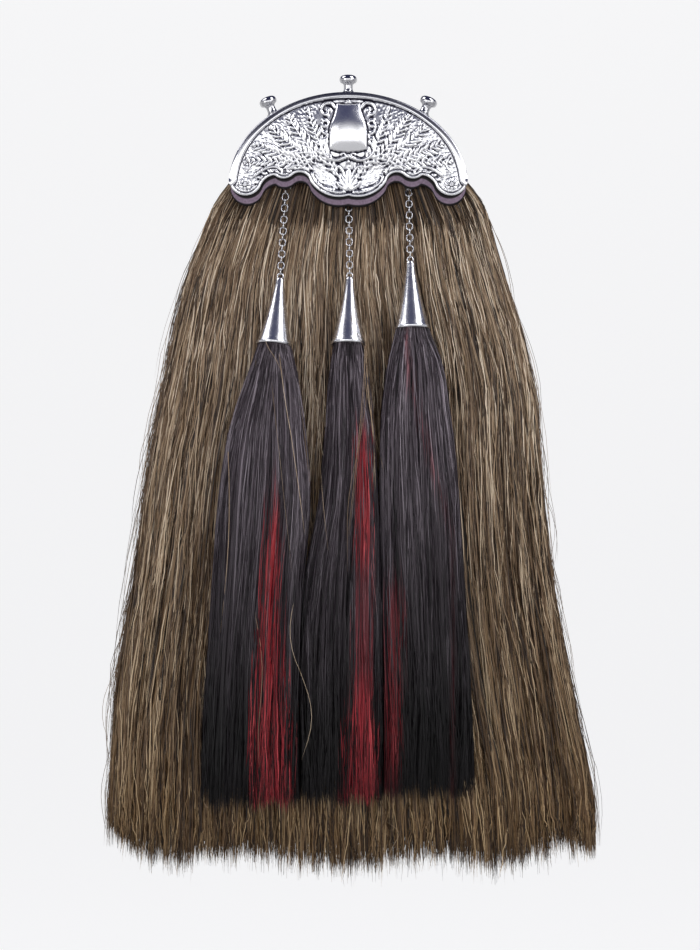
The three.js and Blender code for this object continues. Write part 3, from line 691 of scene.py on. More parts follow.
def wall_rows(x, low, high):
    """Rows of points that turn the plate's edge back, make the arch's side wall and end at the scallops."""
    plate, wall = PLATE["back"], WALL["back"]
    outer_x, outer_z = x * WALL["share"], arch_top(x, WALL["inset"])
    inner_x, inner_z = x * WALL["inner_share"], arch_top(x, WALL["inset"] + WALL["thick"])
    rows = [
        (x, plate, high),
        (outer_x, plate, outer_z),
        (outer_x, wall, outer_z),
        (inner_x, wall, inner_z),
        (inner_x, plate, np.maximum(inner_z, low)),
        (x, plate, low),
    ]
    return [stacked(*row) for row in rows]


def cantle():
    columns, rows = 420, 116
    edge = scalloped_edge()
    x = column_places(SCALLOPS[-1][0] - 0.02, columns)
    low = np.interp(x, edge[:, 0], edge[:, 1])
    high = arch_top(x)
    z = low[:, None] + (high - low)[:, None] * np.linspace(0, 1, rows)
    grid_x = np.repeat(x[:, None], rows, 1)
    relief = Relief(grid_x, z)
    rng = np.random.default_rng(7)
    for row in SPRAYS:
        for side in (1, -1):
            add_spray(relief, row, side, rng)
    add_strokes(relief, rng)
    add_edge_leaves(relief, edge)
    add_ornaments(relief)
    across, up = shield_share(grid_x, z)
    add_shield(relief, across, up)
    near_shield = np.maximum(across, up)
    on_shield = near_shield < 1

    # The raised work ends at the rims, and the ground between is a little uneven.
    arch_gap = way_to(relief.place, stacked(x, high))[0]
    edge_gap = way_to(relief.place, edge[::3])[0]
    low_share = np.clip((22 - z) / 40, 0, 1)
    rim_width = RIM["width"] + (RIM["side_width"] - RIM["width"]) * low_share
    clear = np.minimum(arch_gap - rim_width - 0.9, edge_gap - RIM["edge_width"] - 0.2)
    relief.height *= np.clip(clear / 0.7, 0, 1)
    ground = np.where(on_shield, 0, blurred(rng.normal(0, 0.13, (columns, rows)), 1))
    relief.height += np.where(relief.height < 0.1, ground * np.clip(clear, 0, 1), 0)
    rim = np.maximum(
        rim_height(arch_gap, rim_width, RIM["rise"]),
        rim_height(edge_gap, RIM["edge_width"], RIM["edge_rise"]),
    )
    groove = np.exp(-(((arch_gap - rim_width - 0.35) / 0.4) ** 2))
    height = np.maximum(relief.height, rim) - 0.25 * groove * (rim < 0.05)
    far = np.hypot(grid_x / DOME["half_width"], (z - DOME["centre_z"]) / DOME["half_height"])
    dome = blurred(DOME["rise"] * np.maximum(0, 1 - far**2), 6)
    y = PLATE["front"] - dome - height

    # Painted shade where the surface lies below what is round it and in the groove inside the rim, but not on
    # the shield's face and the rim.
    painted_dark = np.clip((blurred(height, 3) - height - 0.07) / 0.22, 0, 1)
    painted_dark = np.maximum(painted_dark, np.clip(groove * 1.1, 0, 1) * (rim < 0.05))
    painted_dark = np.where(on_shield & (near_shield < 0.9) | (arch_gap < rim_width - 0.4), 0, painted_dark)
    # The outer slope of the arch is darker too: a painted dark reflection.
    slope_reflection = np.clip((z + 12) / 16, 0, 1) * np.clip((3.1 - arch_gap) / 0.7, 0, 1)
    painted_dark = np.maximum(painted_dark, 0.62 * slope_reflection)
    polish = np.where(on_shield, 0.15, arch_gap < rim_width)

    front = stacked(grid_x, y, z)
    band = np.stack([front[:, -1], *wall_rows(x, low, high), front[:, 0]])
    points = np.concatenate([front.reshape(-1, 3), band.reshape(-1, 3)])
    faces = [grid_faces(columns, rows)[:, ::-1], grid_faces(len(band), columns, start=columns * rows)]
    unlined = np.zeros(len(band) * columns)
    values = {
        "painted_dark": np.concatenate([painted_dark.ravel(), unlined]),
        "polish": np.concatenate([polish.ravel(), unlined + 1]),
    }
    make_piece("cantle_relief", points, faces, SILVER, ["cantle"], values)


def lip():
    """The plum leather layer: a strip with a rounded edge that follows the scallops."""
    columns = 400
    edge = scalloped_edge(LIP["drop"], LIP["side_share"])
    x = column_places(edge[-1, 0] - 0.02, columns)
    low = np.interp(x, edge[:, 0], edge[:, 1])
    metal = scalloped_edge()
    high = np.maximum(np.interp(x, metal[:, 0], metal[:, 1]) + 4, low + 0.6)
    front, back = LIP["front"], LIP["back"]
    # Each row: how far up the strip from its lower edge, its depth, and 1 where the leather is dark: black
    # edge paint along the lower edge, and painted shadow of the metal along the top.
    rows = [
        (2.2, back, 1), (0.6, back, 1), (0.12, back - 0.3, 1), (0, (front + back) / 2, 1),
        (0.1, front + 0.35, 1), (0.35, front + 0.1, 1), (0.8, front, 1), (1.2, front, 1),
        (1.6, front, 0), (4.4, front, 0), (4.9, front, 1), (math.inf, front, 1), (math.inf, back, 1),
    ]
    points = np.concatenate([stacked(x, y, np.minimum(low + up, high)) for up, y, _ in rows])
    faces = grid_faces(len(rows), columns)[:, ::-1]
    values = {"edge": np.repeat([dark for _, _, dark in rows], columns)}
    make_piece("lip", points, faces, PLUM_LEATHER, ["cantle_backing"], values)


# Radius and height above the foot.
KNOB_PROFILE = [
    (0, -3), (4.25, -3), (4.3, 0), (4.2, 0.5), (3.5, 1.1), (3.05, 2), (2.95, 3.6), (3, 5), (3.5, 5.9),
    (4.7, 6.5), (5.4, 7.2), (5.7, 8.3), (5.65, 9.3), (5.2, 10.4), (4.1, 11.3), (2.2, 11.85), (0, 12),
]


def knobs():
    for name, side in (("left", -1), ("centre", 0), ("right", 1)):
        points, faces = turned(curve_through(KNOB_PROFILE, 3), 40)
        tilt = Quaternion((0, 1, 0), math.radians(side * KNOB["lean"]))
        x = side * KNOB["x"]
        points = turned_to(points, tilt, (x, KNOB["centre_y"], float(arch_top(np.array(x)))))
        make_piece(f"knob_turned_{name}", points, faces, SHADED_KNOB_SILVER, [f"knob_{name}"])


# Chains and cones


def cone_radius(share):
    return CONE["top"] + (CONE["base"] - CONE["top"]) * (0.4 * share + 0.6 * share**1.5)


def oval_ring(radius, wire, stretch, around=22, section=8):
    """A ring of wire in the X and Z plane, stretched along Z."""
    turn = np.linspace(0, 2 * math.pi, around, endpoint=False)[:, None]
    roll = np.linspace(0, 2 * math.pi, section, endpoint=False)
    out = radius + wire * np.cos(roll)
    points = stacked(out * np.cos(turn), wire * np.sin(roll), out * np.sin(turn))
    points[..., 2] += stretch * np.tanh(points[..., 2] * 3 / radius)
    rows = np.concatenate([points, points[:1]]).reshape(-1, 3)
    return rows, grid_faces(around + 1, section, closed=True)


LINK_PITCH = 2 * (LINK["radius"] + LINK["stretch"] - LINK["wire"]) - LINK["play"]
END_PITCH = EYE["radius"] + LINK["radius"] + LINK["stretch"] - EYE["wire"] - LINK["wire"] - LINK["play"]


def chain_start(row):
    """The eye that a chain hangs from, as high above the cone's loop as the chain's links reach."""
    x, y, z = row["loop"]
    length = 2 * END_PITCH + (row["links"] - 1) * LINK_PITCH
    aside = math.hypot(x - row["start_x"], y - EYE["y"])
    return Vector((row["start_x"], EYE["y"], z + math.sqrt(length**2 - aside**2)))


def cone_axis(row):
    way = Vector((math.tan(math.radians(row["side"])), -math.tan(math.radians(row["forward"])), -1))
    return way.normalized()


DOWN = Vector((0, 0, -1))


def chain(side, row):
    start = chain_start(row)
    along = DOWN.rotation_difference((Vector(row["loop"]) - start).normalized())
    links = []
    for i in range(row["links"]):
        ring, faces = oval_ring(LINK["radius"], LINK["wire"], LINK["stretch"])
        # Every other link, the last among them, is turned by a quarter.
        if (row["links"] - 1 - i) % 2 == 0:
            ring = ring[:, [1, 0, 2]] * (-1, 1, 1)
        ring = ring + (0, 0, -(END_PITCH + i * LINK_PITCH))
        links.append((turned_to(ring, along, start), faces))
    points, faces = joined(links)
    names = [f"chain_{side}_link_{i + 1}" for i in range(row["links"])]
    make_piece(f"chain_links_{side}", points, faces, SHADED_CHAIN_SILVER, names)


def cone_profile():
    """A hollow flared cone, with a rolled bead at its mouth, a collar at its top and a closed roof."""
    neck, height = CONE["neck"], CONE["height"]
    outer = []
    for share in np.linspace(0, 1, 26):
        bead = 0.35 * math.exp(-((share - 0.975) / 0.02) ** 2)
        collar = 0.3 * math.exp(-((share - 0.03) / 0.02) ** 2)
        outer.append((cone_radius(share) + bead + collar, -neck - share * height))
    roof = CONE["roof"] / height
    inner = [(cone_radius(s) - CONE["wall"], -neck - s * height) for s in np.linspace(1, roof, 12)]
    return [(0, -neck + 0.3), (1.6, -neck + 0.2), *outer, *inner, (0, inner[-1][1])]


def cone(side, row):
    shell = turned(cone_profile()[::-1], 56)
    loop = oval_ring(EYE["radius"], EYE["wire"], 0, 24)
    points, faces = joined([shell, loop])
    points = turned_to(points, DOWN.rotation_difference(cone_axis(row)), row["loop"])
    make_piece(f"cone_spun_{side}", points, faces, SHADED_CONE_SILVER, [f"tassel_cone_{side}"])


# Hair


class Bundle:
    """The outside of a bundle of hair. Each level is z, left, right, front and back."""

    def __init__(self, levels, square):
        self.levels = np.array(levels, float)
        self.square = square
        self.top = self.levels[0, 0]
        self.low = self.levels[-1, 0]

    def sizes(self, z):
        left, right, front, back = (hermite(-self.levels[:, 0], self.levels[:, k], -z) for k in (1, 2, 3, 4))
        return (left + right) / 2, (front + back) / 2, (right - left) / 2, (back - front) / 2

    def surface(self, u, face, z):
        """The point and the way out at u, -1 on the left to 1 on the right. face is -1 in front, 1 behind."""
        x, y, wide, deep = self.sizes(z)
        q = self.square
        u = np.clip(u, -1, 1)
        depth = np.maximum(1 - np.abs(u) ** q, 0) ** (1 / q)
        point = stacked(x + wide * u, y + face * deep * depth, z)
        out = stacked(np.sign(u) * np.abs(u) ** (q - 1) / wide, face * depth ** (q - 1) / deep, 0)
        return point, out / np.linalg.norm(out, axis=-1, keepdims=True)


def waves(rng, count, size):
    """For each of count strands or locks, a gentle sideways wave along its length."""
    slow, quick = rng.uniform(0.35, 1.0, count), rng.uniform(1.4, 3.0, count)
    phases = rng.uniform(0, 2 * math.pi, (2, count))
    big, small = rng.normal(0, size, count), rng.normal(0, size * 0.28, count)

    def at(index, fall):
        i = index[:, None]
        return fall * (
            big[i] * np.sin(2 * math.pi * slow[i] * fall + phases[0][i])
            + small[i] * np.sin(2 * math.pi * quick[i] * fall + phases[1][i])
        )

    return at


def scattered(rng, count, share, reach):
    """Homes of strands, from -1 to 1, with a share of them close to the two sides."""
    home = rng.uniform(-1, 1, count)
    aside = rng.random(count) < share
    return np.where(aside, np.sign(home) * (1 - reach * rng.random(count) ** 1.5), home)


def lock_of(home, locks, stray=0.0):
    """The lock that each strand belongs to."""
    return np.clip(((home + 1) / 2 * locks + stray).astype(int), 0, locks - 1)


def strand_paths(rng, bundle, home, face, top, tip, steps, locks, wave, pull, out, sink=0.0, cross=1.3):
    """Paths of strands that lie on a bundle, gather into locks and wave a little.

    sink lets both ends of a strand dip below the surface. cross lets strands cross each other.
    """
    count = len(home)
    run = np.linspace(0, 1, steps + 1)[None, :]
    z = top[:, None] + (tip - top)[:, None] * run
    fall = np.clip((bundle.top - z) / (bundle.top - bundle.low), 0, 1)
    lock = lock_of(home, locks, rng.normal(0, 0.4, count))
    middle = ((np.arange(locks) + rng.uniform(0.1, 0.9, locks)) / locks * 2 - 1)[lock]
    wide = bundle.sizes(z)[2]
    sway = waves(rng, locks, wave)(lock, fall) + waves(rng, count, wave * 0.5)(np.arange(count), fall)
    sway = sway + rng.normal(0, cross, count)[:, None] * (run - 0.5)
    sway = sway + rng.normal(0, 0.1 + 0.08 * cross, z.shape)
    u = home[:, None] + (middle - home)[:, None] * pull * fall + sway / wide
    point, away = bundle.surface(u, np.full(count, face)[:, None], z)
    lift = rng.normal(0, out, locks)[lock][:, None] * fall + rng.normal(0, out * 0.6, count)[:, None]
    lift = lift + sink * (np.sin(math.pi * run) * 1.7 - 0.9)
    return point + away * lift[..., None], away, lock


def ribbons(name, paths, away, width, twist, finish, values):
    """Flat tapering ribbons along paths (strands, steps, 3), turned by twist about their own way.

    Each ribbon has a cell of its own in the UV map.
    """
    count, steps = paths.shape[:2]
    way = np.gradient(paths, axis=1)
    way /= np.linalg.norm(way, axis=-1, keepdims=True) + 1e-9
    side = np.cross(way, away)
    side /= np.linalg.norm(side, axis=-1, keepdims=True) + 1e-9
    other = np.cross(side, way)
    turn = twist[:, None, None]
    run = np.linspace(0, 1, steps)
    taper = np.interp(run, [0, 0.08, 0.8, 1], [0.3, 1, 0.85, 0.1])
    half = (np.cos(turn) * side + np.sin(turn) * other) * (width[:, None] / 2 * taper)[..., None]
    points = np.stack([paths - half, paths + half], 2).reshape(-1, 3)
    first = (np.arange(count)[:, None] * steps + np.arange(steps - 1)).reshape(-1, 1) * 2
    faces = first + np.array([0, 1, 3, 2])
    columns = math.ceil(math.sqrt(count * 2))
    rows = math.ceil(count / columns)
    strand = np.arange(count)
    u = (strand % columns)[:, None, None] + np.array([0.2, 0.8])[None, None, :]
    v = (strand // columns)[:, None, None] + (0.08 + 0.84 * run)[None, :, None]
    cells = stacked(u / columns, v / rows).reshape(-1, 2)
    spread = {}
    for key, value in values.items():
        by_step = value if np.ndim(value) == 2 else value[:, None]
        spread[key] = np.repeat(np.broadcast_to(by_step, (count, steps)), 2, 1)
    make_piece(name, points, faces, finish, (), spread, cells)


def under_layer(name, bundle, inset, depth, finish, replaces, rows, sides, seed, tips, values):
    """The inner body of a bundle: a closed skin with fine grooves, just under the strands."""
    rng = np.random.default_rng(seed)
    turn = np.linspace(0, 2 * math.pi, sides, endpoint=False)
    c, s = np.cos(turn), np.sin(turn)
    bend = 2 / bundle.square
    cs, sn = np.sign(c) * np.abs(c) ** bend, np.sign(s) * np.abs(s) ** bend
    z = np.linspace(bundle.top, tips, rows)[:, None]
    x, y, wide, deep = bundle.sizes(z)
    rough = blurred(rng.normal(0, 1, (rows, sides)), 1)
    ridge = rng.normal(0, 1, sides)[None, :] + 0.6 * rough
    fall = np.linspace(0, 1, rows)[:, None]
    inset_all = inset + depth * np.clip(ridge, -1.5, 1.5) * (0.4 + 0.6 * fall)
    wide_in, deep_in = np.maximum(wide - inset_all, 0.5), np.maximum(deep - inset_all, 0.3)
    grid = stacked(x + wide_in * cs, y + deep_in * sn, z)
    # The last rows rise towards the two sides, as the hem does.
    grid[..., 2] += 16 * fall**4 * np.clip(np.abs(c) - 0.6, 0, 1) / 0.4
    grid[-1, :, 2] += rng.normal(0, 2.5, sides)
    middle = np.array([float(x[-1, 0]), float(y[-1, 0]), 0])
    # Rings that close the lower end, each smaller and higher than the one before.
    ends = []
    for shrink, rise in ((0.9, 8), (0.5, 18), (0.02, 20)):
        ring = grid[-1] * shrink + middle * (1 - shrink)
        ring[:, 2] = grid[-1, :, 2].mean() + rise
        ends.append(ring)
    lid = grid[0] * 0.02 + np.array([float(x[0, 0]), float(y[0, 0]), bundle.top]) * 0.98
    points = np.concatenate([lid[None], grid, np.stack(ends)])
    shape = points.shape[:2]
    ridge = np.concatenate([ridge[:1], ridge, np.repeat(ridge[-1:], len(ends), 0)])
    # The skin's tone is low: painted shade under the strands, varied by its ridges.
    made = {"tone": np.clip(0.22 + 0.1 * ridge, 0, 1)}
    for key, value in values(points).items():
        made[key] = np.broadcast_to(value, shape)
    faces = grid_faces(shape[0], sides, closed=True)
    make_piece(name, points.reshape(-1, 3), faces, finish, replaces, made)


def olive_and_painted_shade(z):
    """How far the brown hair turns olive and darker towards its lower end: partly its own olive tint, partly
    painted shade.
    """
    return np.clip((-z - 130) / 300, 0, 1)


# Longer than the hair, so that such strands run all the way to the hem.
TO_THE_TIP = (600, 601)
# Each layer: name, seed, strands, face, steps, locks, widths, wave, lift, tops, lengths, sink, cross, tone.
# The deep layers have a lower tone than the outer ones: painted shade beneath the outer strands.
SKIRT_LAYERS = [
    ("hair_deep", 11, 4600, -1, 9, 200, (1.0, 1.7), 3.6, 0.4, (-14, -4), TO_THE_TIP, 0, 2.5, 0.27),
    ("hair_front_1", 12, 7600, -1, 9, 170, (0.45, 0.8), 3.8, 0.5, (-420, 110), (75, 190), 0.8, 4.5, 0.51),
    ("hair_front_2", 13, 7600, -1, 9, 240, (0.35, 0.65), 4.6, 0.7, (-430, 80), (50, 145), 1.2, 5.0, 0.6),
    ("hair_rear_deep", 14, 2200, 1, 9, 130, (1.1, 1.9), 3.6, 0.4, (-14, -4), TO_THE_TIP, 0, 2.5, 0.27),
    ("hair_rear", 15, 2600, 1, 8, 170, (0.5, 0.9), 4.2, 0.6, (-420, 60), (110, 260), 0.9, 4.5, 0.47),
    ("hem_front", 16, 3200, -1, 5, 110, (0.35, 0.7), 1.5, 0.8, (-395, -320), TO_THE_TIP, 0, 3, 0.47),
    ("hem_rear", 17, 1300, 1, 5, 200, (0.5, 0.9), 1.5, 0.6, (-395, -320), TO_THE_TIP, 0, 3, 0.44),
]


def skirt_layer(bundle, row):
    name, seed, count, face, steps, locks, widths, wave, lift, tops, lengths, sink, cross, tone = row
    rng = np.random.default_rng(seed)
    home = scattered(rng, count, 0.16, 0.12)
    hem = np.interp(home * 156, HEM[:, 0], HEM[:, 1])
    guide = rng.normal(0, 4.2, locks)
    hem = hem + guide[lock_of(home, locks)] + rng.normal(0, 4, count) + 4
    top = np.minimum(rng.uniform(*tops, count), -5)
    tip = np.maximum(top - rng.uniform(*lengths, count), hem)
    paths, away, lock = strand_paths(
        rng, bundle, home, face, top, tip, steps, locks, wave, 0.55, lift, sink, cross)
    shade = rng.normal(tone, 0.11, locks)[lock] + rng.normal(0, 0.27, count)
    shade = np.where(rng.random(count) < 0.08, shade + 0.26, shade)
    values = {"tone": np.clip(shade, 0.02, 1), "fall": olive_and_painted_shade(paths[..., 2])}
    twist = rng.normal(0, 0.75, count)
    ribbons(name, paths, away, rng.uniform(*widths, count), twist, BROWN_HAIR, values)


def skirt():
    bundle = Bundle(SKIRT, 2.3)

    def darker(points):
        return {"fall": olive_and_painted_shade(points[..., 2])}

    under_layer("hair_body", bundle, 1.6, 0.5, BROWN_HAIR, ["hair_skirt"], 46, 360, 3, -446, darker)
    for row in SKIRT_LAYERS:
        skirt_layer(bundle, row)


def red_at(rows, x, z, edge):
    """How red a place of a tassel is. edge is each strand's own share of the streak's width."""
    total = np.zeros(x.shape)
    for streak in rows:
        streak = np.array(streak, float)
        middle, half, strength = (at_level(streak, z, k, left=0, right=streak[-1, k]) for k in (1, 2, 3))
        inside = np.clip((half * edge - np.abs(x - middle)) / 1.2 + 0.5, 0, 1)
        total = np.maximum(total, strength * inside * (z < streak[0, 0]))
    return total


def skirt_front(z):
    return at_level(SKIRT, z, 3)


def tassel_bundle(row):
    """The outside of a tassel: a round neck in the cone, then the levels, which rest on the skirt."""
    axis = cone_axis(row)
    mouth = np.array(Vector(row["loop"]) + axis * (CONE["neck"] + CONE["height"]))
    levels = []
    for up, radius in ((9, 7.6), (0.5, 9.4)):
        x, y, z = mouth - np.array(axis) * up
        levels.append((z, x - radius, x + radius, y - radius, y + radius))
    for z, left, right, thick in row["levels"]:
        back = skirt_front(np.array(z)) - 0.7
        levels.append((z, left, right, back - thick, back))
    _, left, right, front, back = levels[-1]
    levels.append((row["tip"] - 6, left - 0.5, right + 0.5, front, back))
    return Bundle(levels, 2.4)


TASSEL_LOCKS = 50
# Each layer: name, face, strands, steps, widths, lengths, sink.
TASSEL_LAYERS = [
    ("deep", -1, 1700, 11, (0.6, 1.0), TO_THE_TIP, 0),
    ("front", -1, 2600, 8, (0.3, 0.55), (90, 200), 0.7),
    ("rear", 1, 500, 9, (0.7, 1.1), TO_THE_TIP, 0),
]


def tassel(side, row, seed):
    bundle = tassel_bundle(row)
    streaks = REDS[side]

    # Painted sheen on the upper part of a tassel and painted shade below it: 0 near the top, 1 lower down.
    def sheen_above_shade_below(z):
        return np.clip((bundle.top - 60 - z) / 190, 0, 1)

    def redness(points):
        red = 0.6 * red_at(streaks, points[..., 0], points[..., 2], 0.7)
        return {"red": red, "fall": sheen_above_shade_below(points[..., 2])}

    under_layer(f"tassel_body_{side}", bundle, 1.2, 0.35, BLACK_HAIR, [f"tassel_hair_{side}"],
                34, 110, seed, row["tip"] + 14, redness)
    rng = np.random.default_rng(seed)
    locks = TASSEL_LOCKS
    for part, face, count, steps, widths, lengths, sink in TASSEL_LAYERS:
        home = scattered(rng, count, 0.2, 0.15)
        guide = rng.normal(0, 2.2, locks)
        end = row["tip"] + rng.normal(0, 2.6, count) + 2 * np.cos(home * 9 + seed) + 3 * home**2
        end = end + guide[lock_of(home, locks)]
        top = float(bundle.top) - rng.uniform(0, 3, count)
        if sink:
            top = np.minimum(top, rng.uniform(row["tip"] + 60, bundle.top + 70, count))
        tip = np.maximum(top - rng.uniform(*lengths, count), end)
        paths, away, lock = strand_paths(
            rng, bundle, home, face, top, tip, steps, locks, 2.4, 0.5, 0.4, sink, 1.5 + 2 * sink)
        edge = rng.uniform(0.1, 1.4, count)[:, None]
        red = red_at(streaks, paths[..., 0], paths[..., 2], edge) * (rng.random(count) < 0.8)[:, None]
        tone = rng.normal(0.42, 0.12, locks)[lock] + rng.normal(0, 0.22, count)
        values = {"tone": np.clip(tone, 0, 1), "red": red, "fall": sheen_above_shade_below(paths[..., 2])}
        width = rng.uniform(*widths, count)
        twist = rng.normal(0, 0.7, count)
        ribbons(f"tassel_{part}_{side}", paths, away, width, twist, BLACK_HAIR, values)


# Stray hairs at the sides, across the front, and over the cones and the tassels.
# Each row: how many, x and z at the top, in the middle and at the tip, and their spread.
STRAYS = [
    (3, (-105, -130), (-124, -200), (-136, -262), 5),
    (3, (-118, -210), (-132, -290), (-140, -352), 5),
    (3, (-128, -270), (-142, -350), (-157, -420), 4),
    (4, (112, -160), (124, -230), (131, -300), 4),
    (3, (128, -280), (140, -350), (150, -400), 4),
    (1, (-57, -124), (-51, -147), (-41, -162), 1),
    (1, (-49, -100), (-57, -122), (-58, -140), 1),
    (10, (12, -124), (15, -165), (17, -212), 2),
    (3, (12, -120), (6, -200), (-1, -268), 3),
    (2, (3, -100), (8, -125), (13, -150), 3),
    (4, (-40, -140), (-36, -190), (-30, -260), 16),
    (2, (-50, -300), (-46, -350), (-48, -400), 20),
    (16, (-88, -120), (-92, -200), (-102, -300), 14),
    (16, (86, -120), (90, -200), (100, -300), 14),
    (5, (0, -428), (10, -440), (2, -455), 120),
]


def lift_over_tassels(x, z):
    """How far in front of the skirt a stray hair lies, so that it clears the cones and the tassels."""
    lift = 1.5
    for row in TASSELS.values():
        loop_x, _, loop_z = row["loop"]
        cone_levels = [(loop_z, loop_x - 3, loop_x + 3, 6), (loop_z - 44, loop_x - 12, loop_x + 12, 21)]
        table = np.vstack([cone_levels, row["levels"]])
        left, right, thick = (at_level(table, z, k) for k in (1, 2, 3))
        over = np.clip((np.minimum(x - left, right - x) + 3) / 5, 0, 1)
        over = over * np.clip((table[0, 0] - z) / 4, 0, 1) * (z > row["tip"] - 4)
        lift = np.maximum(lift, 1.5 + over * (thick + 1.2))
    return lift


def stray_path(rng, top, middle, tip, spread):
    run = np.linspace(0, 1, 15)
    base = rng.uniform(-1, 1) * spread
    lean = rng.normal(0, min(spread, 12) * 0.5)
    x = hermite(np.array([0, 0.5, 1]), np.array([top[0], middle[0], tip[0]], float) + base, run)
    x = x + lean * run + rng.normal(0, 1.8) * np.sin(run * math.pi * rng.uniform(1, 2.5))
    z = np.interp(run, [0, 0.5, 1], [top[1], middle[1], tip[1]]) + rng.normal(0, 8)
    z = np.clip(z, -468, -22)
    wide = np.interp(-z, -SKIRT[:, 0], (SKIRT[:, 2] - SKIRT[:, 1]) / 2)
    share = np.clip(np.abs(x) / wide, 0, 1)
    front = skirt_front(z) * (1 - share**2.3) ** (1 / 2.3)
    y = front - lift_over_tassels(x, z) - rng.uniform(0, 1.2) * np.sin(run * math.pi)
    return stacked(x, y, z)


def stray_hairs():
    rng = np.random.default_rng(31)
    paths, tones = [], []
    for count, *way in STRAYS:
        for _ in range(count):
            paths.append(stray_path(rng, *way))
            tones.append(rng.uniform(0.4, 0.85))
    paths = np.array(paths)
    count = len(paths)
    away = np.zeros_like(paths) + (0, -1, 0)
    values = {"tone": np.array(tones), "fall": np.zeros(count)}
    width = rng.uniform(0.25, 0.42, count)
    twist = rng.normal(0, 0.5, count)
    ribbons("stray_hairs", paths, away, width, twist, BROWN_HAIR, values)


def flyaways():
    """Thin hairs that leave the sides of the skirt and lift off them a little."""
    rng = np.random.default_rng(32)
    bundle = Bundle(SKIRT, 2.3)
    count = 300
    side = np.where(rng.random(count) < 0.58, -1.0, 1.0)
    home = side * (1 - 0.02 * rng.random(count))
    top = rng.uniform(-380, -30, count)
    tip = np.maximum(top - rng.uniform(50, 170, count), -452)
    face = np.where(rng.random(count) < 0.6, -1.0, 1.0)
    paths = strand_paths(rng, bundle, home, face, top, tip, 10, 60, 1.0, 0, 0.1)[0]
    run = np.linspace(0, 1, 11)[None]
    reach = rng.gamma(2.0, 1.7, count).clip(0, 9)[:, None]
    curl = rng.uniform(0.7, 1.7, count)[:, None]
    paths[..., 0] += side[:, None] * reach * np.sin(math.pi * run * curl / 1.7) ** 2
    away = np.zeros_like(paths) + (0, -1, 0)
    values = {"tone": rng.uniform(0.15, 0.6, count), "fall": olive_and_painted_shade(paths[..., 2])}
    width = rng.uniform(0.22, 0.4, count)
    twist = rng.normal(0, 0.4, count)
    ribbons("flyaway_hairs", paths, away, width, twist, BROWN_HAIR, values)


# The solids that stay


def finish_solid(name, finish):
    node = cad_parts[name]
    node.data.materials.clear()
    node.data.materials.append(finish[0])
    return node


def dress_solids():
    """Materials for the solids that stay, and rounded edges on the leather."""
    for name in ("back_panel", "rear_pocket", "strap_loop_left", "strap_loop_right"):
        bevel = finish_solid(name, BACK_LEATHER).modifiers.new("edge", "BEVEL")
        bevel.width = 0.5 * MM
        bevel.segments = 2
    for side in TASSELS:
        finish_solid(f"chain_eye_{side}", SHADED_CHAIN_SILVER)


# Stitches


STITCH = {"pitch": 3.1, "length": 2.1, "thick": 0.34, "slant": 0.12, "sides": 6}
# Rows that run down one side, round the foot and up the other: half width, top, bottom, corner radius
# and distance from the edge, then the depth in Y.
PANEL_ROW = ((80, -60, -152, 46, 4), 0.1)
POCKET_ROW = ((62, -28, -138, 34, 4), 18.1)
# The panel's row goes on in an arch: half width, height and the height of its middle.
PANEL_ARCH = {"half_width": 72.4, "height": 56.4, "centre_z": -28, "first_turn": 9}
TABS = {"x": 34, "z": 16.6, "half_width": 8, "gap": 1.6, "y": 2.4}


def sewn_line(path, y):
    """Stitches along a path in X and Z, which bulge a little to the rear from the depth y."""
    path = np.array(path, float)
    runs = runs_of(path)
    sides, thick = STITCH["sides"], STITCH["thick"]
    share = np.array([-1, -0.7, 0, 0.7, 1])
    girth = np.sqrt(np.maximum(0.02, 1 - share**4))
    turn = np.linspace(0, 2 * math.pi, sides, endpoint=False)
    faces = tube_faces(len(share), sides)
    parts = []
    for run in np.arange(STITCH["pitch"] / 2, runs[-1], STITCH["pitch"]):
        x, z, way = place_on(path, runs, run, 0.5)
        way += STITCH["slant"]
        along = share[:, None] * STITCH["length"] / 2
        aside = thick * girth[:, None] * np.cos(turn)
        out = thick * girth[:, None] * np.sin(turn) + 0.15 * (1 - share[:, None] ** 2)
        ring = stacked(
            x + along * math.cos(way) - aside * math.sin(way),
            y + out,
            z + along * math.sin(way) + aside * math.cos(way),
        )
        ends = ring[[0, -1]].mean(1)
        parts.append((np.concatenate([ring.reshape(-1, 3), ends]), faces))
    return joined(parts)


def foot_path(half_width, top, bottom, corner, inset):
    """From the right side at the top, down and round the two lower corners, to the left side."""
    turn = np.linspace(0, math.pi / 2, 12)
    x = half_width - corner + (corner - inset) * np.cos(turn)
    z = bottom + corner - (corner - inset) * np.sin(turn)
    right = stacked(x, z)
    return np.vstack([[(half_width - inset, top)], right, right[::-1] * (-1, 1), [(inset - half_width, top)]])


def stitching():
    panel_foot, panel_y = PANEL_ROW
    pocket_foot, pocket_y = POCKET_ROW
    first_turn = PANEL_ARCH["first_turn"]
    turn = np.linspace(math.radians(first_turn), math.radians(180 - first_turn), 60)
    arch_x = PANEL_ARCH["half_width"] * np.cos(turn)
    arch_z = PANEL_ARCH["centre_z"] + PANEL_ARCH["height"] * np.sin(turn)
    arch = stacked(arch_x, arch_z)
    rows = [
        sewn_line(np.vstack([foot_path(*panel_foot)[::-1], arch, [(-75.8, -60)]]), panel_y),
        sewn_line(foot_path(*pocket_foot), pocket_y),
        sewn_line([(58, -28), (-58, -28)], pocket_y),
    ]
    for x in (-TABS["x"], TABS["x"]):
        for z in (-TABS["z"], TABS["z"]):
            for row_z in (z - TABS["gap"], z + TABS["gap"]):
                ends = [(x - TABS["half_width"], row_z), (x + TABS["half_width"], row_z)]
                rows.append(sewn_line(ends, TABS["y"]))
    points, faces = joined(rows)
    make_piece("stitching", points, faces, THREAD)


# Stage, in metres


# A floor that curves up into a wall far behind.
SWEEP = {"floor_z": -0.78, "wall_y": 4.4, "top_z": 2.6, "reach": 5.5, "bend": 2.2}
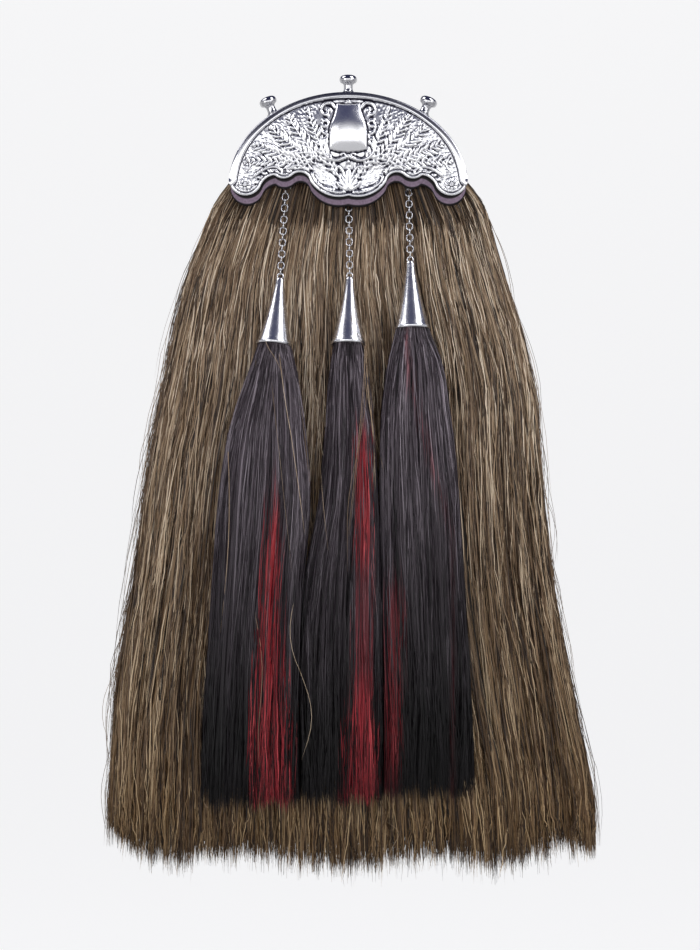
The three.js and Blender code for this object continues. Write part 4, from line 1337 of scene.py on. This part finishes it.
# Each lamp: name, place, size across and up, brightness.
LAMPS = [
    ("front", (0.0, -2.7, 0.05), (2.2, 1.1), 1.35),
    ("left", (-1.5, -1.7, 0.1), (1.2, 1.2), 2.6),
    ("right", (1.5, -1.7, 0.1), (1.2, 1.2), 1.3),
    ("top_left", (-1.35, -0.15, 1.5), (1.1, 1.1), 4.5),
    ("top_right", (1.25, -0.7, 1.2), (0.75, 1.6), 6.0),
]
LAMPS_AIM = Vector((0, 0, -0.1))
CAMERA = {"place": (0.0011, -1.822, -0.213), "distance": 1.8, "shown_height": 0.608, "sensor": 36}


def sweep():
    floor_z, wall_y, top_z, reach, bend = SWEEP.values()
    turn = np.linspace(0, math.pi / 2, 40)[1:]
    flat_y = np.linspace(-reach, wall_y - bend, 24)
    y = np.concatenate([flat_y, wall_y - bend + bend * np.sin(turn), [wall_y]])
    z = np.concatenate([np.full(24, floor_z), floor_z + bend - bend * np.cos(turn), [top_z]])
    points = stacked((-reach, reach), y[:, None], z[:, None]).reshape(-1, 3)
    # It glows as lit paper does, and less in front of the sporran, where the metal mirrors it.
    glow = 0.4 + 0.6 * np.clip((points[:, 1] - 0.2) / 0.8, 0, 1)
    mesh = new_mesh("sweep", points, grid_faces(len(y), 2).tolist(), {"glow": glow})
    look = Shader("pale_paper", Roughness=0.9, Specular_IOR_Level=0.1)
    look.colour((0.3, 0.3, 0.3, 1))
    look.put((1, 1, 1, 1), look.bsdf.inputs["Emission Color"])
    look.put(look.math("MULTIPLY", look.attribute("glow"), 0.755), look.bsdf.inputs["Emission Strength"])
    mesh.materials.append(look.material)
    add_object("sweep", mesh)


def room():
    """Pale walls all round, and a dark blue ceiling."""
    world = bpy.data.worlds.new("studio")
    world.use_nodes = True
    nodes, links = world.node_tree.nodes, world.node_tree.links
    way = nodes.new("ShaderNodeTexCoord")
    height = nodes.new("ShaderNodeSeparateXYZ")
    shade = nodes.new("ShaderNodeValToRGB")
    links.new(way.outputs["Generated"], height.inputs[0])
    links.new(height.outputs["Z"], shade.inputs["Fac"])
    walls, ceiling = shade.color_ramp.elements
    walls.position = 0.2
    walls.color = (0.66, 0.66, 0.68, 1)
    ceiling.position = 0.42
    ceiling.color = (0.045, 0.05, 0.11, 1)
    links.new(shade.outputs["Color"], nodes["Background"].inputs["Color"])
    bpy.context.scene.world = world


def lamps():
    for name, place, (across, up), brightness in LAMPS:
        data = bpy.data.lights.new(name, "AREA")
        data.shape = "RECTANGLE"
        data.size, data.size_y = across, up
        data.energy = brightness * math.pi * across * up
        lamp = add_object(name, data)
        lamp.location = place
        lamp.rotation_euler = (LAMPS_AIM - Vector(place)).to_track_quat("-Z", "Y").to_euler()


def camera():
    """Level with the middle of the sporran and straight in front, through a long lens."""
    data = bpy.data.cameras.new("camera")
    data.sensor_fit = "VERTICAL"
    data.sensor_width = CAMERA["sensor"]
    data.sensor_height = CAMERA["sensor"]
    data.lens = CAMERA["sensor"] * CAMERA["distance"] / CAMERA["shown_height"]
    data.clip_end = 50
    eye = add_object("camera", data)
    eye.location = CAMERA["place"]
    eye.rotation_euler = (math.pi / 2, 0, 0)
    bpy.context.scene.camera = eye


cantle()
lip()
knobs()
for number, (tassel_side, tassel_row) in enumerate(TASSELS.items()):
    chain(tassel_side, tassel_row)
    cone(tassel_side, tassel_row)
    tassel(tassel_side, tassel_row, 40 + number)
skirt()
stray_hairs()
flyaways()
dress_solids()
stitching()
sweep()
room()
lamps()
camera()
bpy.context.scene.view_settings.view_transform = "Standard"
